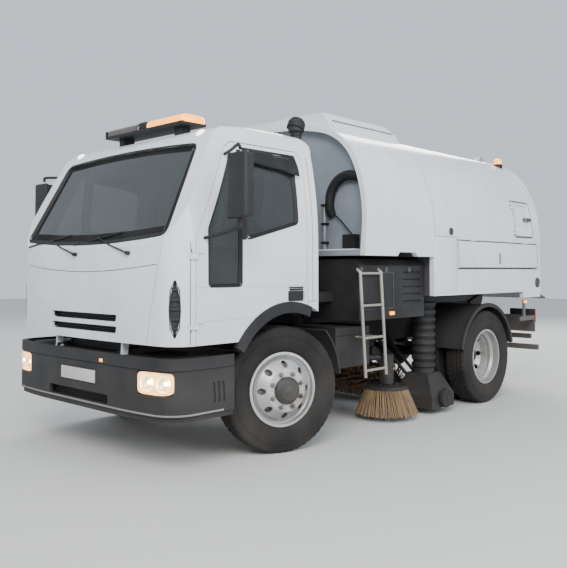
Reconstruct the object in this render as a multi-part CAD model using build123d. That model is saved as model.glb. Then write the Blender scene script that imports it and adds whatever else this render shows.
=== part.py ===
from build123d import *
import math
import os

os.makedirs("parts", exist_ok=True)

# Frame: +X forward, +Y left, +Z up, origin on the ground at half of the overall length.
# Lengths are millimetres and angles are degrees.

# Layout of the truck
WHEELBASE = 3105
FRONT_OVERHANG = 1240
REAR_OVERHANG = 1570
FRONT_X = (WHEELBASE + REAR_OVERHANG - FRONT_OVERHANG) / 2
REAR_X = FRONT_X - WHEELBASE
MOVING_GAP = 6
SEAT_GAP = 0.3
PIN_CLEARANCE = 0.05

# Tyres and rims
TYRE_R = 505
TYRE_W = 250
TREAD_W = 206
FLANGE_R = 298
SEAT_R = 286
RIM_INNER_W = 190
FLANGE_T = 9
RIM_T = 8
WELL_R = 258
DISC_T = 11
WHEEL_OUTSET = 160
HUB_R = 105
STUD_FACE_R = 168
HAND_HOLES = 8
HAND_HOLE_R = 27
HAND_HOLE_PITCH_R = 203
SPINDLE_R = 45
DRUM_R = 205
DRUM_T = 15
AXLE_Z = TYRE_R

# Front axle and steering
FRONT_TRACK = 2040
KINGPIN_OFFSET = 90
KINGPIN_Y = FRONT_TRACK / 2 - KINGPIN_OFFSET
KINGPIN_R = 20
BOSS_R = 48
BOSS_H = 110
FORK_T = 50
STEER_REST = -17
STEER_ARM_L = 200
TRACK_ROD_R = 18
BEAM_W = 90
BEAM_H = 100
BEAM_DROP = 65

# Rear axle
TWIN_OUTER_Y = 1100
TWIN_FACE_Y = TWIN_OUTER_Y - WHEEL_OUTSET
TWIN_INNER_Y = TWIN_FACE_Y - WHEEL_OUTSET
AXLE_TUBE_R = 65
DIFF_R = 190
DIFF_W = 300

# Chassis frame
RAIL_Y = 430
RAIL_FLANGE = 75
RAIL_T = 9
RAIL_LOW = 690
RAIL_H = 220
RAIL_TOP = RAIL_LOW + RAIL_H
RAIL_FRONT = FRONT_X + 1050
CROSS_H = 140
CROSS_W = 90
SUBFRAME_H = 150
SUBFRAME_W = 80
SUBFRAME_TOP = RAIL_TOP + SUBFRAME_H
SPRING_W = 76
LEAF_T = 13
FRONT_LEAVES = 6
REAR_LEAVES = 4
SPRING_HALF = 640

# Cab
CAB_REAR = FRONT_X - 350
CAB_FACE = FRONT_X + 1200
CAB_HALF_W = 1135
CAB_LOW = 920
CAB_TOP = 2600
CAB_WALL = 50
BELT_Z = 1700
FLOOR_LOW = 1215
FLOOR_T = 50
SCREEN_LOW_X = FRONT_X + 1185
SCREEN_LOW_Z = 1640
SCREEN_TOP_X = FRONT_X + 775
SCREEN_TOP_Z = 2440
GLASS_T = 6
GLASS_INSET = 20
DOOR_FRONT = FRONT_X + 970
DOOR_REAR = FRONT_X - 210
DOOR_TOP = 2440
TILT_X = FRONT_X + 1130
TILT_Z = 820
TILT_PIN_R = 20
TILT_ARM_Y = 466
TILT_ARM_T = 30
WING_R = 697
WING_INNER_R = 612
WING_T = 15
WING_INNER_Y = 700
WING_OUTER_Y = CAB_HALF_W + 15

# Bumper
BUMPER_FACE = FRONT_X + FRONT_OVERHANG
BUMPER_LOW = 390
BUMPER_TOP = 838
BUMPER_T = 30
BUMPER_HALF_W = CAB_HALF_W + 10
BUMPER_BACK = FRONT_X + 612
LAMP_Y = BUMPER_HALF_W - 210
LAMP_W = 320
LAMP_Z = 660
LAMP_H = 170
PLATE_W = 520
PLATE_H = 112
PLATE_T = 3
PLATE_Z = 643

# Hopper
HOPPER_HALF_W = 1245
HOPPER_LENGTH = 3550
HOPPER_REAR = REAR_X - 1295
HOPPER_FRONT = HOPPER_REAR + HOPPER_LENGTH
HOPPER_WALL = 50
HOPPER_LOW = 1200
HOPPER_SHOULDER = 1830
# Roof of the section: radius and turn of each arc above the shoulder
ROOF_ARCS = [(1400, 27), (700, 48)]
STEP_X = HOPPER_REAR + 2420
STEP_Z = 1590
SKIRT_X = HOPPER_REAR + 450
SKIRT_LOW = 1130
FRONT_LEAN = 150
TIP_X = HOPPER_REAR
TIP_Z = 1120
TIP_PIN_R = 20
RAM_BASE_X = HOPPER_REAR + 332
RAM_BASE_Z = 960
RAM_EYE_X = HOPPER_REAR + 1500
RAM_EYE_Z = 1140
RAM_R = 55
RAM_PIN_R = 18
RUNNER_LOW = SUBFRAME_TOP + 5
EAR_R = 45

# Lockers and hatches in the hopper's sides
LOCKER_X = (HOPPER_REAR + 90, HOPPER_REAR + 1963)
LOCKER_Z = (1480, 1772)
LOCKER_DEPTH = 200
LID_T = 40
LID_PROUD = 16
HATCH_X = (HOPPER_REAR + 210, HOPPER_REAR + 660)
HATCH_Z = (1850, 2270)

# Tail door
DOOR_GAP = 5
TAIL_T = 60
TAIL_LOW = 1215
TAIL_INSET = 38
TAIL_HINGE_X = HOPPER_REAR - 40
TAIL_PIN_R = 12
APRON_T = 14

# Sweeping gear
BRUSH_X = REAR_X + 0.4686 * WHEELBASE
BRUSH_Y = 900
BRUSH_TOP = 330
BRUSH_LOW = 45
BRUSH_R = 310
BRUSH_ARM_X = REAR_X + 0.5974 * WHEELBASE
BRUSH_ARM_Y = 560
WIDE_X = REAR_X + 0.2754 * WHEELBASE
WIDE_Z = 250
WIDE_R = 200
WIDE_HALF_W = 600
WIDE_PIVOT_X = REAR_X + 0.4203 * WHEELBASE
WIDE_PIVOT_Z = 640
NOZZLE_X = REAR_X + 0.2786 * WHEELBASE
NOZZLE_Y = 950
HOSE_R = 110
NOZZLE_WHEEL_R = 95

# Wheel faces, steering joints and spring seats
HUB_FACE = WHEEL_OUTSET - DISC_T
CAP_Y = WHEEL_OUTSET + 45
STEER_EYE_Z = AXLE_Z - BOSS_H / 2 - 5 - FORK_T
FRONT_SEAT_Z = AXLE_Z - BEAM_DROP + BEAM_H / 2
REAR_SEAT_Z = AXLE_Z + AXLE_TUBE_R
NOSE_X = REAR_X + DIFF_R + 90
NOSE_Z = AXLE_Z + 10
YOKE_X = NOSE_X + 30
SHAFT_R = 42
SHAFT_Z = 690
SHAFT_FRONT = FRONT_X - 960
GUARD_R = 560
GUARD_LIP_R = 590

# Door cuts and hinges, rear window
DOOR_REACH = (CAB_HALF_W - 235, CAB_HALF_W + 265)
REAR_WINDOW_Z = 2110
HINGE_R = 10
HINGE_PIN_R = 5
HINGE_X = DOOR_FRONT + MOVING_GAP / 2
HINGE_Y = CAB_HALF_W + HINGE_R + 2
HINGE_ZS = (1080, 1580)
HANDLE_X = FRONT_X - 80
HANDLE_Z = 1265
HANDLE_SIZE = (200, 120)
SEAM_DEPTH = 4
SEAM_W = 6
CREASE_ZS = (1331, 1088)
INLET_Z = 1185
INLET_HALF = (37, 203)
INLET_DEPTH = 9
BUMPER_STEP_Z = 745
LIGHT_BAR_X = FRONT_X + 520
LIGHT_BAR_Z = (CAB_TOP + 40, CAB_TOP + 135)
INTAKE_X = FRONT_X - 450
INTAKE_Y = 790
INTAKE_LOW = 1170
INTAKE_TOP = CAB_TOP + 200

# Hopper cuts, liners, hinges and ram
HOPPER_SPAN = (-HOPPER_HALF_W - 155, HOPPER_HALF_W + 155)
CROWN_Z = HOPPER_SHOULDER + 1080
HOPPER_ABOVE = CROWN_Z + 190
TAIL_HINGE_Z = CROWN_Z + 15
BULKHEAD_SETBACK = 60
LINER_T = 30
FLOOR_DEPTH = 60
LID_SWING_GAP = 11
LID_AXIS = (HOPPER_HALF_W + 4, LOCKER_Z[1] + 4)
HATCH_GAP = 10
HATCH_T = 25
HATCH_AXIS_LOW = (HOPPER_HALF_W + 29, HATCH_Z[0])
HATCH_AXIS_HIGH = (HOPPER_HALF_W - 47, HATCH_Z[1])
TAIL_HINGE_Y = 400
RAM_ROD_R = 36
RAM_BARREL_L = 760
RAM_DRIFT = (12.8, -16.8)
RAM_DRIFT_R = 21.6
BEACON_Y = HOPPER_HALF_W - 445
BEACON_R = 55
BEACON_TOP = CROWN_Z - 45
DUCT_LENGTH = 1150
DUCT_HALF_W = HOPPER_HALF_W - 545
DUCT_SHOULDER = CROWN_Z - 80
DUCT_TOP = CROWN_Z + 75

# Boom and sign on the tail door
BOOM_X = HOPPER_REAR - 150
BOOM_Z = 2140
BOOM_PIN_R = 22
TAIL_BACK = HOPPER_REAR - DOOR_GAP - TAIL_T
BORDER_W = 70
BORDER_T = 14
SILL_Z = (1235, 1335)
SIGN_Y = 600
SIGN_Z = 1540
SIGN_R = 300
SIGN_BACK = BOOM_X - 70

# Cowl, brush brackets and nozzle wheels
COWL_HALF_W = HOPPER_HALF_W - 105
COWL_LOW = 1000
LADDER_Y = COWL_HALF_W + 50
TAIL_LAMP_END_Y = HOPPER_HALF_W - 50
COWL_TOP = 1560
LOUVRES = 5
LOUVRE_PITCH = 70
LOUVRE_DEPTH = 14
BRUSH_BRACKET_Z = 700
BRUSH_PIN_R = 20
WIDE_ARM_Y = WIDE_HALF_W + 15
WIDE_PIN_R = 15
NOZZLE_WHEEL_Z = 160


def side_plane(y):
    return Plane(origin=(0, y, 0), x_dir=(1, 0, 0), z_dir=(0, -1, 0))


def end_plane(x):
    return Plane(origin=(x, 0, 0), x_dir=(0, 1, 0), z_dir=(1, 0, 0))


def from_side(face, y_low, y_high):
    """Solid with an outline drawn in side view as (x, z), between two widths."""
    return extrude(side_plane(y_high) * face, amount=y_high - y_low, dir=(0, -1, 0))


def from_end(face, x_low, x_high):
    """Solid with an outline drawn in end view as (y, z), between two lengths."""
    return extrude(end_plane(x_low) * face, amount=x_high - x_low, dir=(1, 0, 0))


def from_top(face, z_low, z_high):
    """Solid with an outline drawn in plan as (x, y), between two heights."""
    return extrude(Plane.XY.offset(z_low) * face, amount=z_high - z_low, dir=(0, 0, 1))


def outline(*points):
    return make_face(Polyline(*points, close=True))


def block(x, y, z):
    """Box between pairs of limits along each axis."""
    size = (x[1] - x[0], y[1] - y[0], z[1] - z[0])
    return Pos((x[0] + x[1]) / 2, (y[0] + y[1]) / 2, (z[0] + z[1]) / 2) * Box(*size)


def rod(start, end, radius):
    """Round bar between two points."""
    run = Vector(*end) - Vector(*start)
    return extrude(Plane(origin=start, z_dir=run) * Circle(radius), amount=run.length)


def turned(profile):
    """Solid of revolution about the Y axis from a profile drawn as (radius, y)."""
    return revolve(profile, Axis.Y)


def right_of(part):
    return mirror(part, about=Plane.XZ)


def both_sides(part):
    return part + right_of(part)


def save(name, part):
    export_step(part, f"parts/{name}.step")


# Wheels, in a frame with the tyre's centre at the origin and the outboard side towards +Y


def tyre():
    bead_y = RIM_INNER_W / 2
    bead_r = FLANGE_R + 5
    shoulder_r = TYRE_R - 22
    shoulder_y = TREAD_W / 2 + 12
    half = [
        Line((SEAT_R, 0), (SEAT_R, bead_y)),
        Line((SEAT_R, bead_y), (bead_r, bead_y)),
        ThreePointArc((bead_r, bead_y), ((bead_r + shoulder_r) / 2, TYRE_W / 2), (shoulder_r, shoulder_y)),
        Line((shoulder_r, shoulder_y), (TYRE_R, TREAD_W / 2)),
        Line((TYRE_R, TREAD_W / 2), (TYRE_R, 0)),
        Line((TYRE_R, 0), (SEAT_R, 0)),
    ]
    upper = turned(make_face(half))
    return upper + mirror(upper, about=Plane.XZ)


def rim():
    """Steel rim with flanges, well and a disc that bulges outboard, with hand holes."""
    edge = RIM_INNER_W / 2
    barrel = outline(
        (FLANGE_R, edge + FLANGE_T), (FLANGE_R, edge), (SEAT_R, edge), (SEAT_R - 2, 62),
        (WELL_R, 42), (WELL_R, -12), (SEAT_R - 2, -36), (SEAT_R, -edge), (FLANGE_R, -edge),
        (FLANGE_R, -edge - FLANGE_T), (SEAT_R - RIM_T, -edge - FLANGE_T), (SEAT_R - RIM_T - 2, -40),
        (WELL_R - RIM_T, -16), (WELL_R - RIM_T, 46), (SEAT_R - RIM_T - 2, 66),
        (SEAT_R - RIM_T, edge + FLANGE_T),
    )
    top = WHEEL_OUTSET
    foot = WELL_R - RIM_T / 2
    disc = outline(
        (HUB_R, top - DISC_T), (STUD_FACE_R - 6, top - DISC_T), (222, 85), (236, 22), (foot, 22),
        (foot, 42), (246, 42), (234, 94), (STUD_FACE_R, top), (HUB_R, top),
    )
    holes = [
        Rot(0, 360 / HAND_HOLES * i, 0)
        * rod((HAND_HOLE_PITCH_R, 20, 0), (HAND_HOLE_PITCH_R, top + 20, 0), HAND_HOLE_R)
        for i in range(HAND_HOLES)
    ]
    return turned(barrel) + (turned(disc) - holes)


def hub(inner_y, face_y, cap_y):
    """Hub with its flange, brake drum and cap, bored for the spindle."""
    bore_r = SPINDLE_R + PIN_CLEARANCE
    body = outline(
        (bore_r, inner_y), (HUB_R - 20, inner_y), (HUB_R - 20, face_y - 70), (HUB_R + 1, face_y - 40),
        (HUB_R + 1, cap_y - 30), (HUB_R - 35, cap_y), (0, cap_y), (0, cap_y - 12), (bore_r, cap_y - 12),
    )
    flange = outline(
        (HUB_R - 25, face_y - 28), (STUD_FACE_R, face_y - 28), (STUD_FACE_R, face_y), (HUB_R - 25, face_y),
    )
    return turned(body) + turned(flange)


def drum(open_y, closed_y):
    cup = outline(
        (DRUM_R - DRUM_T, open_y), (DRUM_R, open_y), (DRUM_R, closed_y), (HUB_R - 30, closed_y),
        (HUB_R - 30, closed_y - DRUM_T), (DRUM_R - DRUM_T, closed_y - DRUM_T),
    )
    return turned(cup)


def steered(part):
    """Moves a left front piece from wheel axes to its place, turned to the parked steering angle."""
    return Pos(FRONT_X, KINGPIN_Y, AXLE_Z) * Rot(0, 0, STEER_REST) * Pos(0, KINGPIN_OFFSET, 0) * part


def steered_right(part):
    flipped = mirror(part, about=Plane.XZ)
    return Pos(FRONT_X, -KINGPIN_Y, AXLE_Z) * Rot(0, 0, STEER_REST) * Pos(0, -KINGPIN_OFFSET, 0) * flipped


def front_rim():
    return rim() + hub(5, HUB_FACE, CAP_Y) + drum(-45, 70)


def twin_tyres():
    ring = tyre()
    return Pos(REAR_X, TWIN_OUTER_Y, AXLE_Z) * ring + Pos(REAR_X, TWIN_INNER_Y, AXLE_Z) * ring


def twin_rims():
    """Two rims bolted back to back on one hub and drum."""
    single = rim()
    outer = Pos(REAR_X, TWIN_OUTER_Y, AXLE_Z) * mirror(single, about=Plane.XZ)
    inner = Pos(REAR_X, TWIN_INNER_Y, AXLE_Z) * single
    face = WHEEL_OUTSET - DISC_T
    centre = hub(-90, face, face + 110) + drum(-100, 60)
    return outer + inner + Pos(REAR_X, TWIN_INNER_Y, AXLE_Z) * centre


# Axles


def knuckle():
    """Fork with kingpin, spindle, backplate and steering arm, about the kingpin's centre."""
    low = -BOSS_H / 2 - 5
    high = BOSS_H / 2 + 5
    reach = BOSS_R + 12
    pin = rod((0, 0, low - FORK_T), (0, 0, high + FORK_T), KINGPIN_R)
    arms = [
        from_top(Rectangle(2 * BOSS_R, 2 * BOSS_R), z, z + FORK_T) for z in (low - FORK_T, high)
    ]
    tongues = [
        block((-BOSS_R, BOSS_R), (0, reach + 20), (z, z + FORK_T)) for z in (low - FORK_T, high)
    ]
    web = block((-BOSS_R, BOSS_R), (reach, reach + 30), (low - FORK_T, high + FORK_T))
    spindle = rod((0, reach, 0), (0, KINGPIN_OFFSET + CAP_Y - 20, 0), SPINDLE_R)
    plate = rod((0, reach + 18, 0), (0, reach + 28, 0), DRUM_R - DRUM_T - 8)
    arm_z = low - FORK_T
    lever = from_top(
        outline((-30, 30), (-30, -30), (-STEER_ARM_L, -22), (-STEER_ARM_L, 22)), arm_z, arm_z + 22
    )
    eye = Pos(-STEER_ARM_L, 0, arm_z) * Cylinder(30, 22, align=(Align.CENTER, Align.CENTER, Align.MIN))
    stud = rod((-STEER_ARM_L, 0, arm_z - 50), (-STEER_ARM_L, 0, arm_z + 5), 9)
    return pin + arms + tongues + web + spindle + plate + lever + eye + stud


def track_rod():
    """Rod between both steering arms, with an eye under each arm."""
    angle = math.radians(STEER_REST)
    x = FRONT_X - STEER_ARM_L * math.cos(angle)
    shift = -STEER_ARM_L * math.sin(angle)
    top = STEER_EYE_Z - 3
    ends = [(x, KINGPIN_Y + shift, top), (x, -KINGPIN_Y + shift, top)]
    bar = rod((x, ends[1][1] + 15, top - 20), (x, ends[0][1] - 15, top - 20), TRACK_ROD_R)
    eyes = [Pos(*end) * Cylinder(28, 40, align=(Align.CENTER, Align.CENTER, Align.MAX)) for end in ends]
    holes = [
        Pos(*end) * Cylinder(9 + PIN_CLEARANCE, 120, align=Align.CENTER) for end in ends
    ]
    return bar + eyes - holes


def front_axle_beam():
    """Forged beam, dropped between the springs, with a bored boss for each kingpin."""
    seat_y = RAIL_Y + 60
    low = AXLE_Z - BEAM_DROP - BEAM_H / 2
    high = low + BEAM_H
    end_low = AXLE_Z - BOSS_H / 2 + 10
    end_high = AXLE_Z + BOSS_H / 2 - 10
    shape = outline(
        (-KINGPIN_Y, end_low), (-seat_y, low), (seat_y, low), (KINGPIN_Y, end_low),
        (KINGPIN_Y, end_high), (KINGPIN_Y - 90, end_high), (seat_y, high), (-seat_y, high),
        (-KINGPIN_Y + 90, end_high), (-KINGPIN_Y, end_high),
    )
    beam = from_end(shape, FRONT_X - BEAM_W / 2, FRONT_X + BEAM_W / 2)
    groove = Pos(0, (low + high) / 2) * Rectangle(2 * seat_y - 40, BEAM_H - 44)
    beam -= from_end(groove, FRONT_X + 12, FRONT_X + BEAM_W)
    beam -= from_end(groove, FRONT_X - BEAM_W, FRONT_X - 12)
    for side in (-1, 1):
        centre = Pos(FRONT_X, side * KINGPIN_Y, AXLE_Z)
        beam -= centre * Pos(0, side * BOSS_R, 0) * Box(4 * BOSS_R, 2 * BOSS_R, BEAM_H * 2)
        beam += centre * Cylinder(BOSS_R, BOSS_H)
        beam -= centre * Cylinder(KINGPIN_R + PIN_CLEARANCE, BOSS_H + 2)
    return beam


def rear_axle_housing():
    tube = rod((REAR_X, -TWIN_INNER_Y + 95, AXLE_Z), (REAR_X, TWIN_INNER_Y - 95, AXLE_Z), AXLE_TUBE_R)
    bulge = Pos(REAR_X, 0, AXLE_Z) * turned(
        outline(
            (0, -DIFF_W / 2), (110, -DIFF_W / 2), (DIFF_R, -60), (DIFF_R, 60), (110, DIFF_W / 2),
            (0, DIFF_W / 2),
        )
    )
    nose = rod((REAR_X, 0, NOSE_Z), (NOSE_X, 0, NOSE_Z), 85)
    spindle_end = TWIN_FACE_Y + 70
    spindle = rod((REAR_X, -spindle_end, AXLE_Z), (REAR_X, spindle_end, AXLE_Z), SPINDLE_R)
    pads = [
        block(
            (REAR_X - 70, REAR_X + 70),
            (side * (RAIL_Y - 40) - 45, side * (RAIL_Y - 40) + 45),
            (AXLE_Z, REAR_SEAT_Z + 12),
        )
        for side in (-1, 1)
    ]
    return tube + bulge + nose + spindle + pads


def spring_pack(axle_x, seat_z, leaves):
    """Stacked leaves, shortest at the axle, with hangers up to the rail."""
    eye_z = RAIL_LOW - 45
    rise = eye_z - seat_z - leaves * LEAF_T
    y_mid = RAIL_Y - SPRING_W / 2
    pack = []
    for i in range(leaves):
        half = SPRING_HALF * (1 - 0.14 * (leaves - 1 - i))
        lift = rise * (half / SPRING_HALF) ** 2
        z = seat_z + i * LEAF_T
        rear, front = axle_x - half, axle_x + half
        low, high = z + lift, z + lift + LEAF_T
        leaf = make_face([
            ThreePointArc((rear, low), (axle_x, z), (front, low)),
            Line((front, low), (front, high)),
            ThreePointArc((front, high), (axle_x, z + LEAF_T), (rear, high)),
            Line((rear, high), (rear, low)),
        ])
        pack.append(from_side(leaf, y_mid - SPRING_W / 2, y_mid + SPRING_W / 2))
    for end in (-1, 1):
        x = axle_x + end * SPRING_HALF
        pack.append(rod((x, y_mid - SPRING_W / 2, eye_z), (x, y_mid + SPRING_W / 2, eye_z), 26))
        pack.append(block((x - 30, x + 30), (y_mid - 14, y_mid + 14), (eye_z, RAIL_LOW)))
    clamp_top = seat_z + leaves * LEAF_T + 12
    clamp = block((axle_x - 55, axle_x + 55), (y_mid - 42, y_mid + 42), (seat_z, clamp_top))
    return Part() + pack + clamp


def leaf_springs():
    front = spring_pack(FRONT_X, FRONT_SEAT_Z, FRONT_LEAVES)
    rear = spring_pack(REAR_X, REAR_SEAT_Z + 12, REAR_LEAVES)
    return both_sides(front + rear)


# Chassis frame with sub-frame


def chassis_frame():
    inner = RAIL_Y - RAIL_FLANGE
    channel = outline(
        (RAIL_Y, RAIL_LOW), (RAIL_Y, RAIL_TOP), (inner, RAIL_TOP), (inner, RAIL_TOP - RAIL_T),
        (RAIL_Y - RAIL_T, RAIL_TOP - RAIL_T), (RAIL_Y - RAIL_T, RAIL_LOW + RAIL_T),
        (inner, RAIL_LOW + RAIL_T), (inner, RAIL_LOW),
    )
    rail_rear = HOPPER_REAR + 40
    rail = from_end(channel, rail_rear, RAIL_FRONT)
    top_rail = block((rail_rear, FRONT_X - 880), (RAIL_Y - SUBFRAME_W, RAIL_Y), (RAIL_TOP, SUBFRAME_TOP))
    lug = tip_lug() + cab_hinge_bracket() + bumper_bracket()
    frame = both_sides(rail + top_rail + lug)
    cross_z = (RAIL_TOP - RAIL_T - CROSS_H, RAIL_TOP - RAIL_T)
    middle = [REAR_X + share * WHEELBASE for share in (0.1755, 0.4042)]
    for x in [RAIL_FRONT - 60, FRONT_X - 1060, *middle, RAM_BASE_X, rail_rear + 60]:
        frame += block((x - CROSS_W / 2, x + CROSS_W / 2), (-RAIL_Y + 5, RAIL_Y - 5), cross_z)
    for x in (FRONT_X - 1000, FRONT_X - 2060, HOPPER_REAR + 200):
        frame += block((x - 40, x + 40), (-RAIL_Y + 5, RAIL_Y - 5), (RAIL_TOP + 20, SUBFRAME_TOP))
    for side in (-1, 1):
        frame += chassis_brackets(side)
    return frame


def tip_lug():
    """Lug beside the sub-frame's rear end that carries the hopper's tipping pin."""
    plate = outline(
        (TIP_X + 300, RAIL_TOP), (TIP_X + 300, SUBFRAME_TOP), (TIP_X + 30, TIP_Z + 26),
        (TIP_X - 22, TIP_Z + 16), (TIP_X - 22, TIP_Z - 22), (TIP_X + 60, RAIL_TOP),
    )
    lug = from_side(plate, RAIL_Y, RAIL_Y + 25)
    return lug - rod((TIP_X, RAIL_Y - 5, TIP_Z), (TIP_X, RAIL_Y + 30, TIP_Z), TIP_PIN_R + PIN_CLEARANCE)


def cab_hinge_bracket():
    plate = outline(
        (RAIL_FRONT - 220, RAIL_LOW), (TILT_X - 30, RAIL_LOW + 60), (TILT_X + 30, TILT_Z - 20),
        (TILT_X + 30, TILT_Z + 30), (TILT_X - 30, TILT_Z + 30), (RAIL_FRONT - 220, RAIL_TOP - 20),
    )
    bracket = from_side(plate, RAIL_Y, TILT_ARM_Y - 2)
    bore_r = TILT_PIN_R + PIN_CLEARANCE
    return bracket - rod((TILT_X, RAIL_Y - 5, TILT_Z), (TILT_X, TILT_ARM_Y, TILT_Z), bore_r)


def bumper_bracket():
    x_end = BUMPER_FACE - BUMPER_T
    return block((RAIL_FRONT - 80, x_end), (RAIL_Y - 60, RAIL_Y - 36), (RAIL_LOW - 90, RAIL_LOW + 60))


def engine_and_driveline():
    """Engine as one plain block, gearbox behind it and the propeller shaft to the rear axle."""
    engine = block((FRONT_X - 120, FRONT_X + 820), (-310, 310), (600, 1180))
    box = rod((FRONT_X - 880, 0, 740), (FRONT_X - 110, 0, 760), 175)
    feet = block((FRONT_X + 300, FRONT_X + 380), (300, RAIL_Y - RAIL_FLANGE - SEAT_GAP), (650, 730))
    flange = rod((SHAFT_FRONT, 0, SHAFT_Z), (SHAFT_FRONT + 90, 0, SHAFT_Z), 80)
    yoke = rod((NOSE_X + SEAT_GAP, 0, NOSE_Z), (YOKE_X, 0, NOSE_Z), 70)
    return (engine + box + flange + both_sides(feet)) + yoke + propeller_shaft()


def propeller_shaft():
    """Sloping tube bolted face to face between the gearbox flange and the axle's yoke."""
    tube = rod((SHAFT_FRONT + 50, 0, SHAFT_Z), (YOKE_X - 50, 0, NOSE_Z), SHAFT_R)
    span = block((YOKE_X + SEAT_GAP, SHAFT_FRONT - SEAT_GAP), (-100, 100), (400, 900))
    return tube & span


def frame_side_boxes():
    """Fuel tank on the right and battery box on the left, each on a bracket from the rail."""
    x = (REAR_X + 0.62 * WHEELBASE, FRONT_X - 690)
    holds = [(a, a + 60) for a in (x[0] + 60, x[1] - 120)]
    section = fillet(outline((-1060, 560), (-540, 560), (-540, 980), (-1060, 980)).vertices(), 90)
    tank = from_end(section, *x) + rod((x[1] - 170, -880, 970), (x[1] - 170, -880, 1010), 38)
    for hold in holds:
        tank += block(hold, (-545, -RAIL_Y), (640, 860)) + from_end(offset(section, amount=5), *hold)
    battery = fillet(block(x, (520, 1040), (580, 950)).edges().filter_by(Axis.X), 12)
    battery -= block((x[0] - 5, x[1] + 5), (1034, 1050), (868, 874))
    arms = [block(hold, (RAIL_Y, 525), (700, 860)) for hold in holds]
    return tank + battery + arms


# Cab


def cab_side_outline(inset):
    """Side view of the cab, with every edge moved in by the inset."""
    rear = CAB_REAR + inset
    face = CAB_FACE - inset
    top = CAB_TOP - inset
    screen_shift = 1.12 * inset
    low = (SCREEN_LOW_X - screen_shift, SCREEN_LOW_Z)
    high = (SCREEN_TOP_X - screen_shift, SCREEN_TOP_Z)
    brow = (FRONT_X + 560 - 0.3 * inset, top - 34)
    tail = (FRONT_X - 220, top - 8)
    edges = [
        Line((rear, 600), (face - 10, 600)),
        ThreePointArc((face - 10, 600), (face + 8, 1150), low),
        Line(low, high),
        ThreePointArc(high, (FRONT_X + 705 - 0.7 * inset, top - 80), brow),
        ThreePointArc(brow, (FRONT_X + 200, top), tail),
        ThreePointArc(tail, (CAB_REAR + 35 + 0.7 * inset, top - 36), (rear, top - 90)),
        Line((rear, top - 90), (rear, 600)),
    ]
    return make_face(edges)


def cab_end_outline(inset):
    w = CAB_HALF_W - inset
    top = CAB_TOP + 10 - inset
    edges = [
        Line((-w, 600), (w, 600)),
        Line((w, 600), (w, BELT_Z)),
        ThreePointArc((w, BELT_Z), (w - 30, 2120), (w - 88, 2440)),
        ThreePointArc((w - 88, 2440), (w - 128, top - 62), (w - 240, top)),
        Line((w - 240, top), (-w + 240, top)),
        ThreePointArc((-w + 240, top), (-w + 128, top - 62), (-w + 88, 2440)),
        ThreePointArc((-w + 88, 2440), (-w + 30, 2120), (-w, BELT_Z)),
        Line((-w, BELT_Z), (-w, 600)),
    ]
    return make_face(edges)


def cab_plan_outline(inset):
    """Plan view of the cab: bowed nose and round corners, open beyond the sides and rear."""
    w = CAB_HALF_W - inset
    nose = CAB_FACE + 10 - inset
    beyond = CAB_HALF_W + 60
    back = CAB_REAR - 60
    edges = [
        Line((back, -beyond), (nose - 240, -beyond)),
        Line((nose - 240, -beyond), (nose - 210, -w)),
        ThreePointArc((nose - 210, -w), (nose - 92, -w + 62), (nose - 38, -w + 190)),
        ThreePointArc((nose - 38, -w + 190), (nose, 0), (nose - 38, w - 190)),
        ThreePointArc((nose - 38, w - 190), (nose - 92, w - 62), (nose - 210, w)),
        Line((nose - 210, w), (nose - 240, beyond)),
        Line((nose - 240, beyond), (back, beyond)),
        Line((back, beyond), (back, -beyond)),
    ]
    return make_face(edges)


def cab_form(inset):
    """Cab's outer form drawn in by an inset: side, end and plan outlines crossed."""
    side = from_side(cab_side_outline(inset), -CAB_HALF_W - 20, CAB_HALF_W + 20)
    end = from_end(cab_end_outline(inset), CAB_REAR - 20, CAB_FACE + 40)
    plan = from_top(cab_plan_outline(inset), 500, CAB_TOP + 50)
    form = side & end & plan
    below = block((CAB_REAR - 50, CAB_FACE + 50), (-DOOR_REACH[1], DOOR_REACH[1]), (400, CAB_LOW))
    return form - below


def wheel_arch(radius, y_low, y_high):
    circle = Pos(FRONT_X, AXLE_Z) * Circle(radius)
    return from_side(circle, y_low, y_high)


def door_face(gap):
    """Door outline in side view, grown by a gap, down past the cab's lower edge."""
    slope_x = FRONT_X + 650
    face = outline(
        (DOOR_REAR, CAB_LOW - 100), (DOOR_FRONT, CAB_LOW - 100), (DOOR_FRONT, BELT_Z),
        (slope_x, DOOR_TOP - 55), (slope_x - 75, DOOR_TOP), (DOOR_REAR + 60, DOOR_TOP),
        (DOOR_REAR, DOOR_TOP - 60),
    )
    return offset(face, amount=gap, kind=Kind.INTERSECTION) if gap else face


def main_window():
    face = outline(
        (FRONT_X - 95, 1845), (FRONT_X + 470, 1700), (FRONT_X + 470, 2375), (FRONT_X - 95, 2375),
    )
    return fillet(face.vertices(), 30)


def quarter_window():
    face = outline(
        (FRONT_X + 535, 1345), (FRONT_X + 845, 1345), (FRONT_X + 850, 1760), (FRONT_X + 598, 2330),
        (FRONT_X + 535, 2375),
    )
    return fillet(face.vertices(), 22)


def screen_face():
    low = CAB_HALF_W - 135
    high = CAB_HALF_W - 220
    edges = [
        ThreePointArc((-low, 1722), (0, 1672), (low, 1722)),
        Line((low, 1722), (high, 2405)),
        ThreePointArc((high, 2405), (0, 2438), (-high, 2405)),
        Line((-high, 2405), (-low, 1722)),
    ]
    return fillet(make_face(edges).vertices(), 55)


def rear_window():
    return fillet(Rectangle(1300, 430).vertices(), 50)


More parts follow.
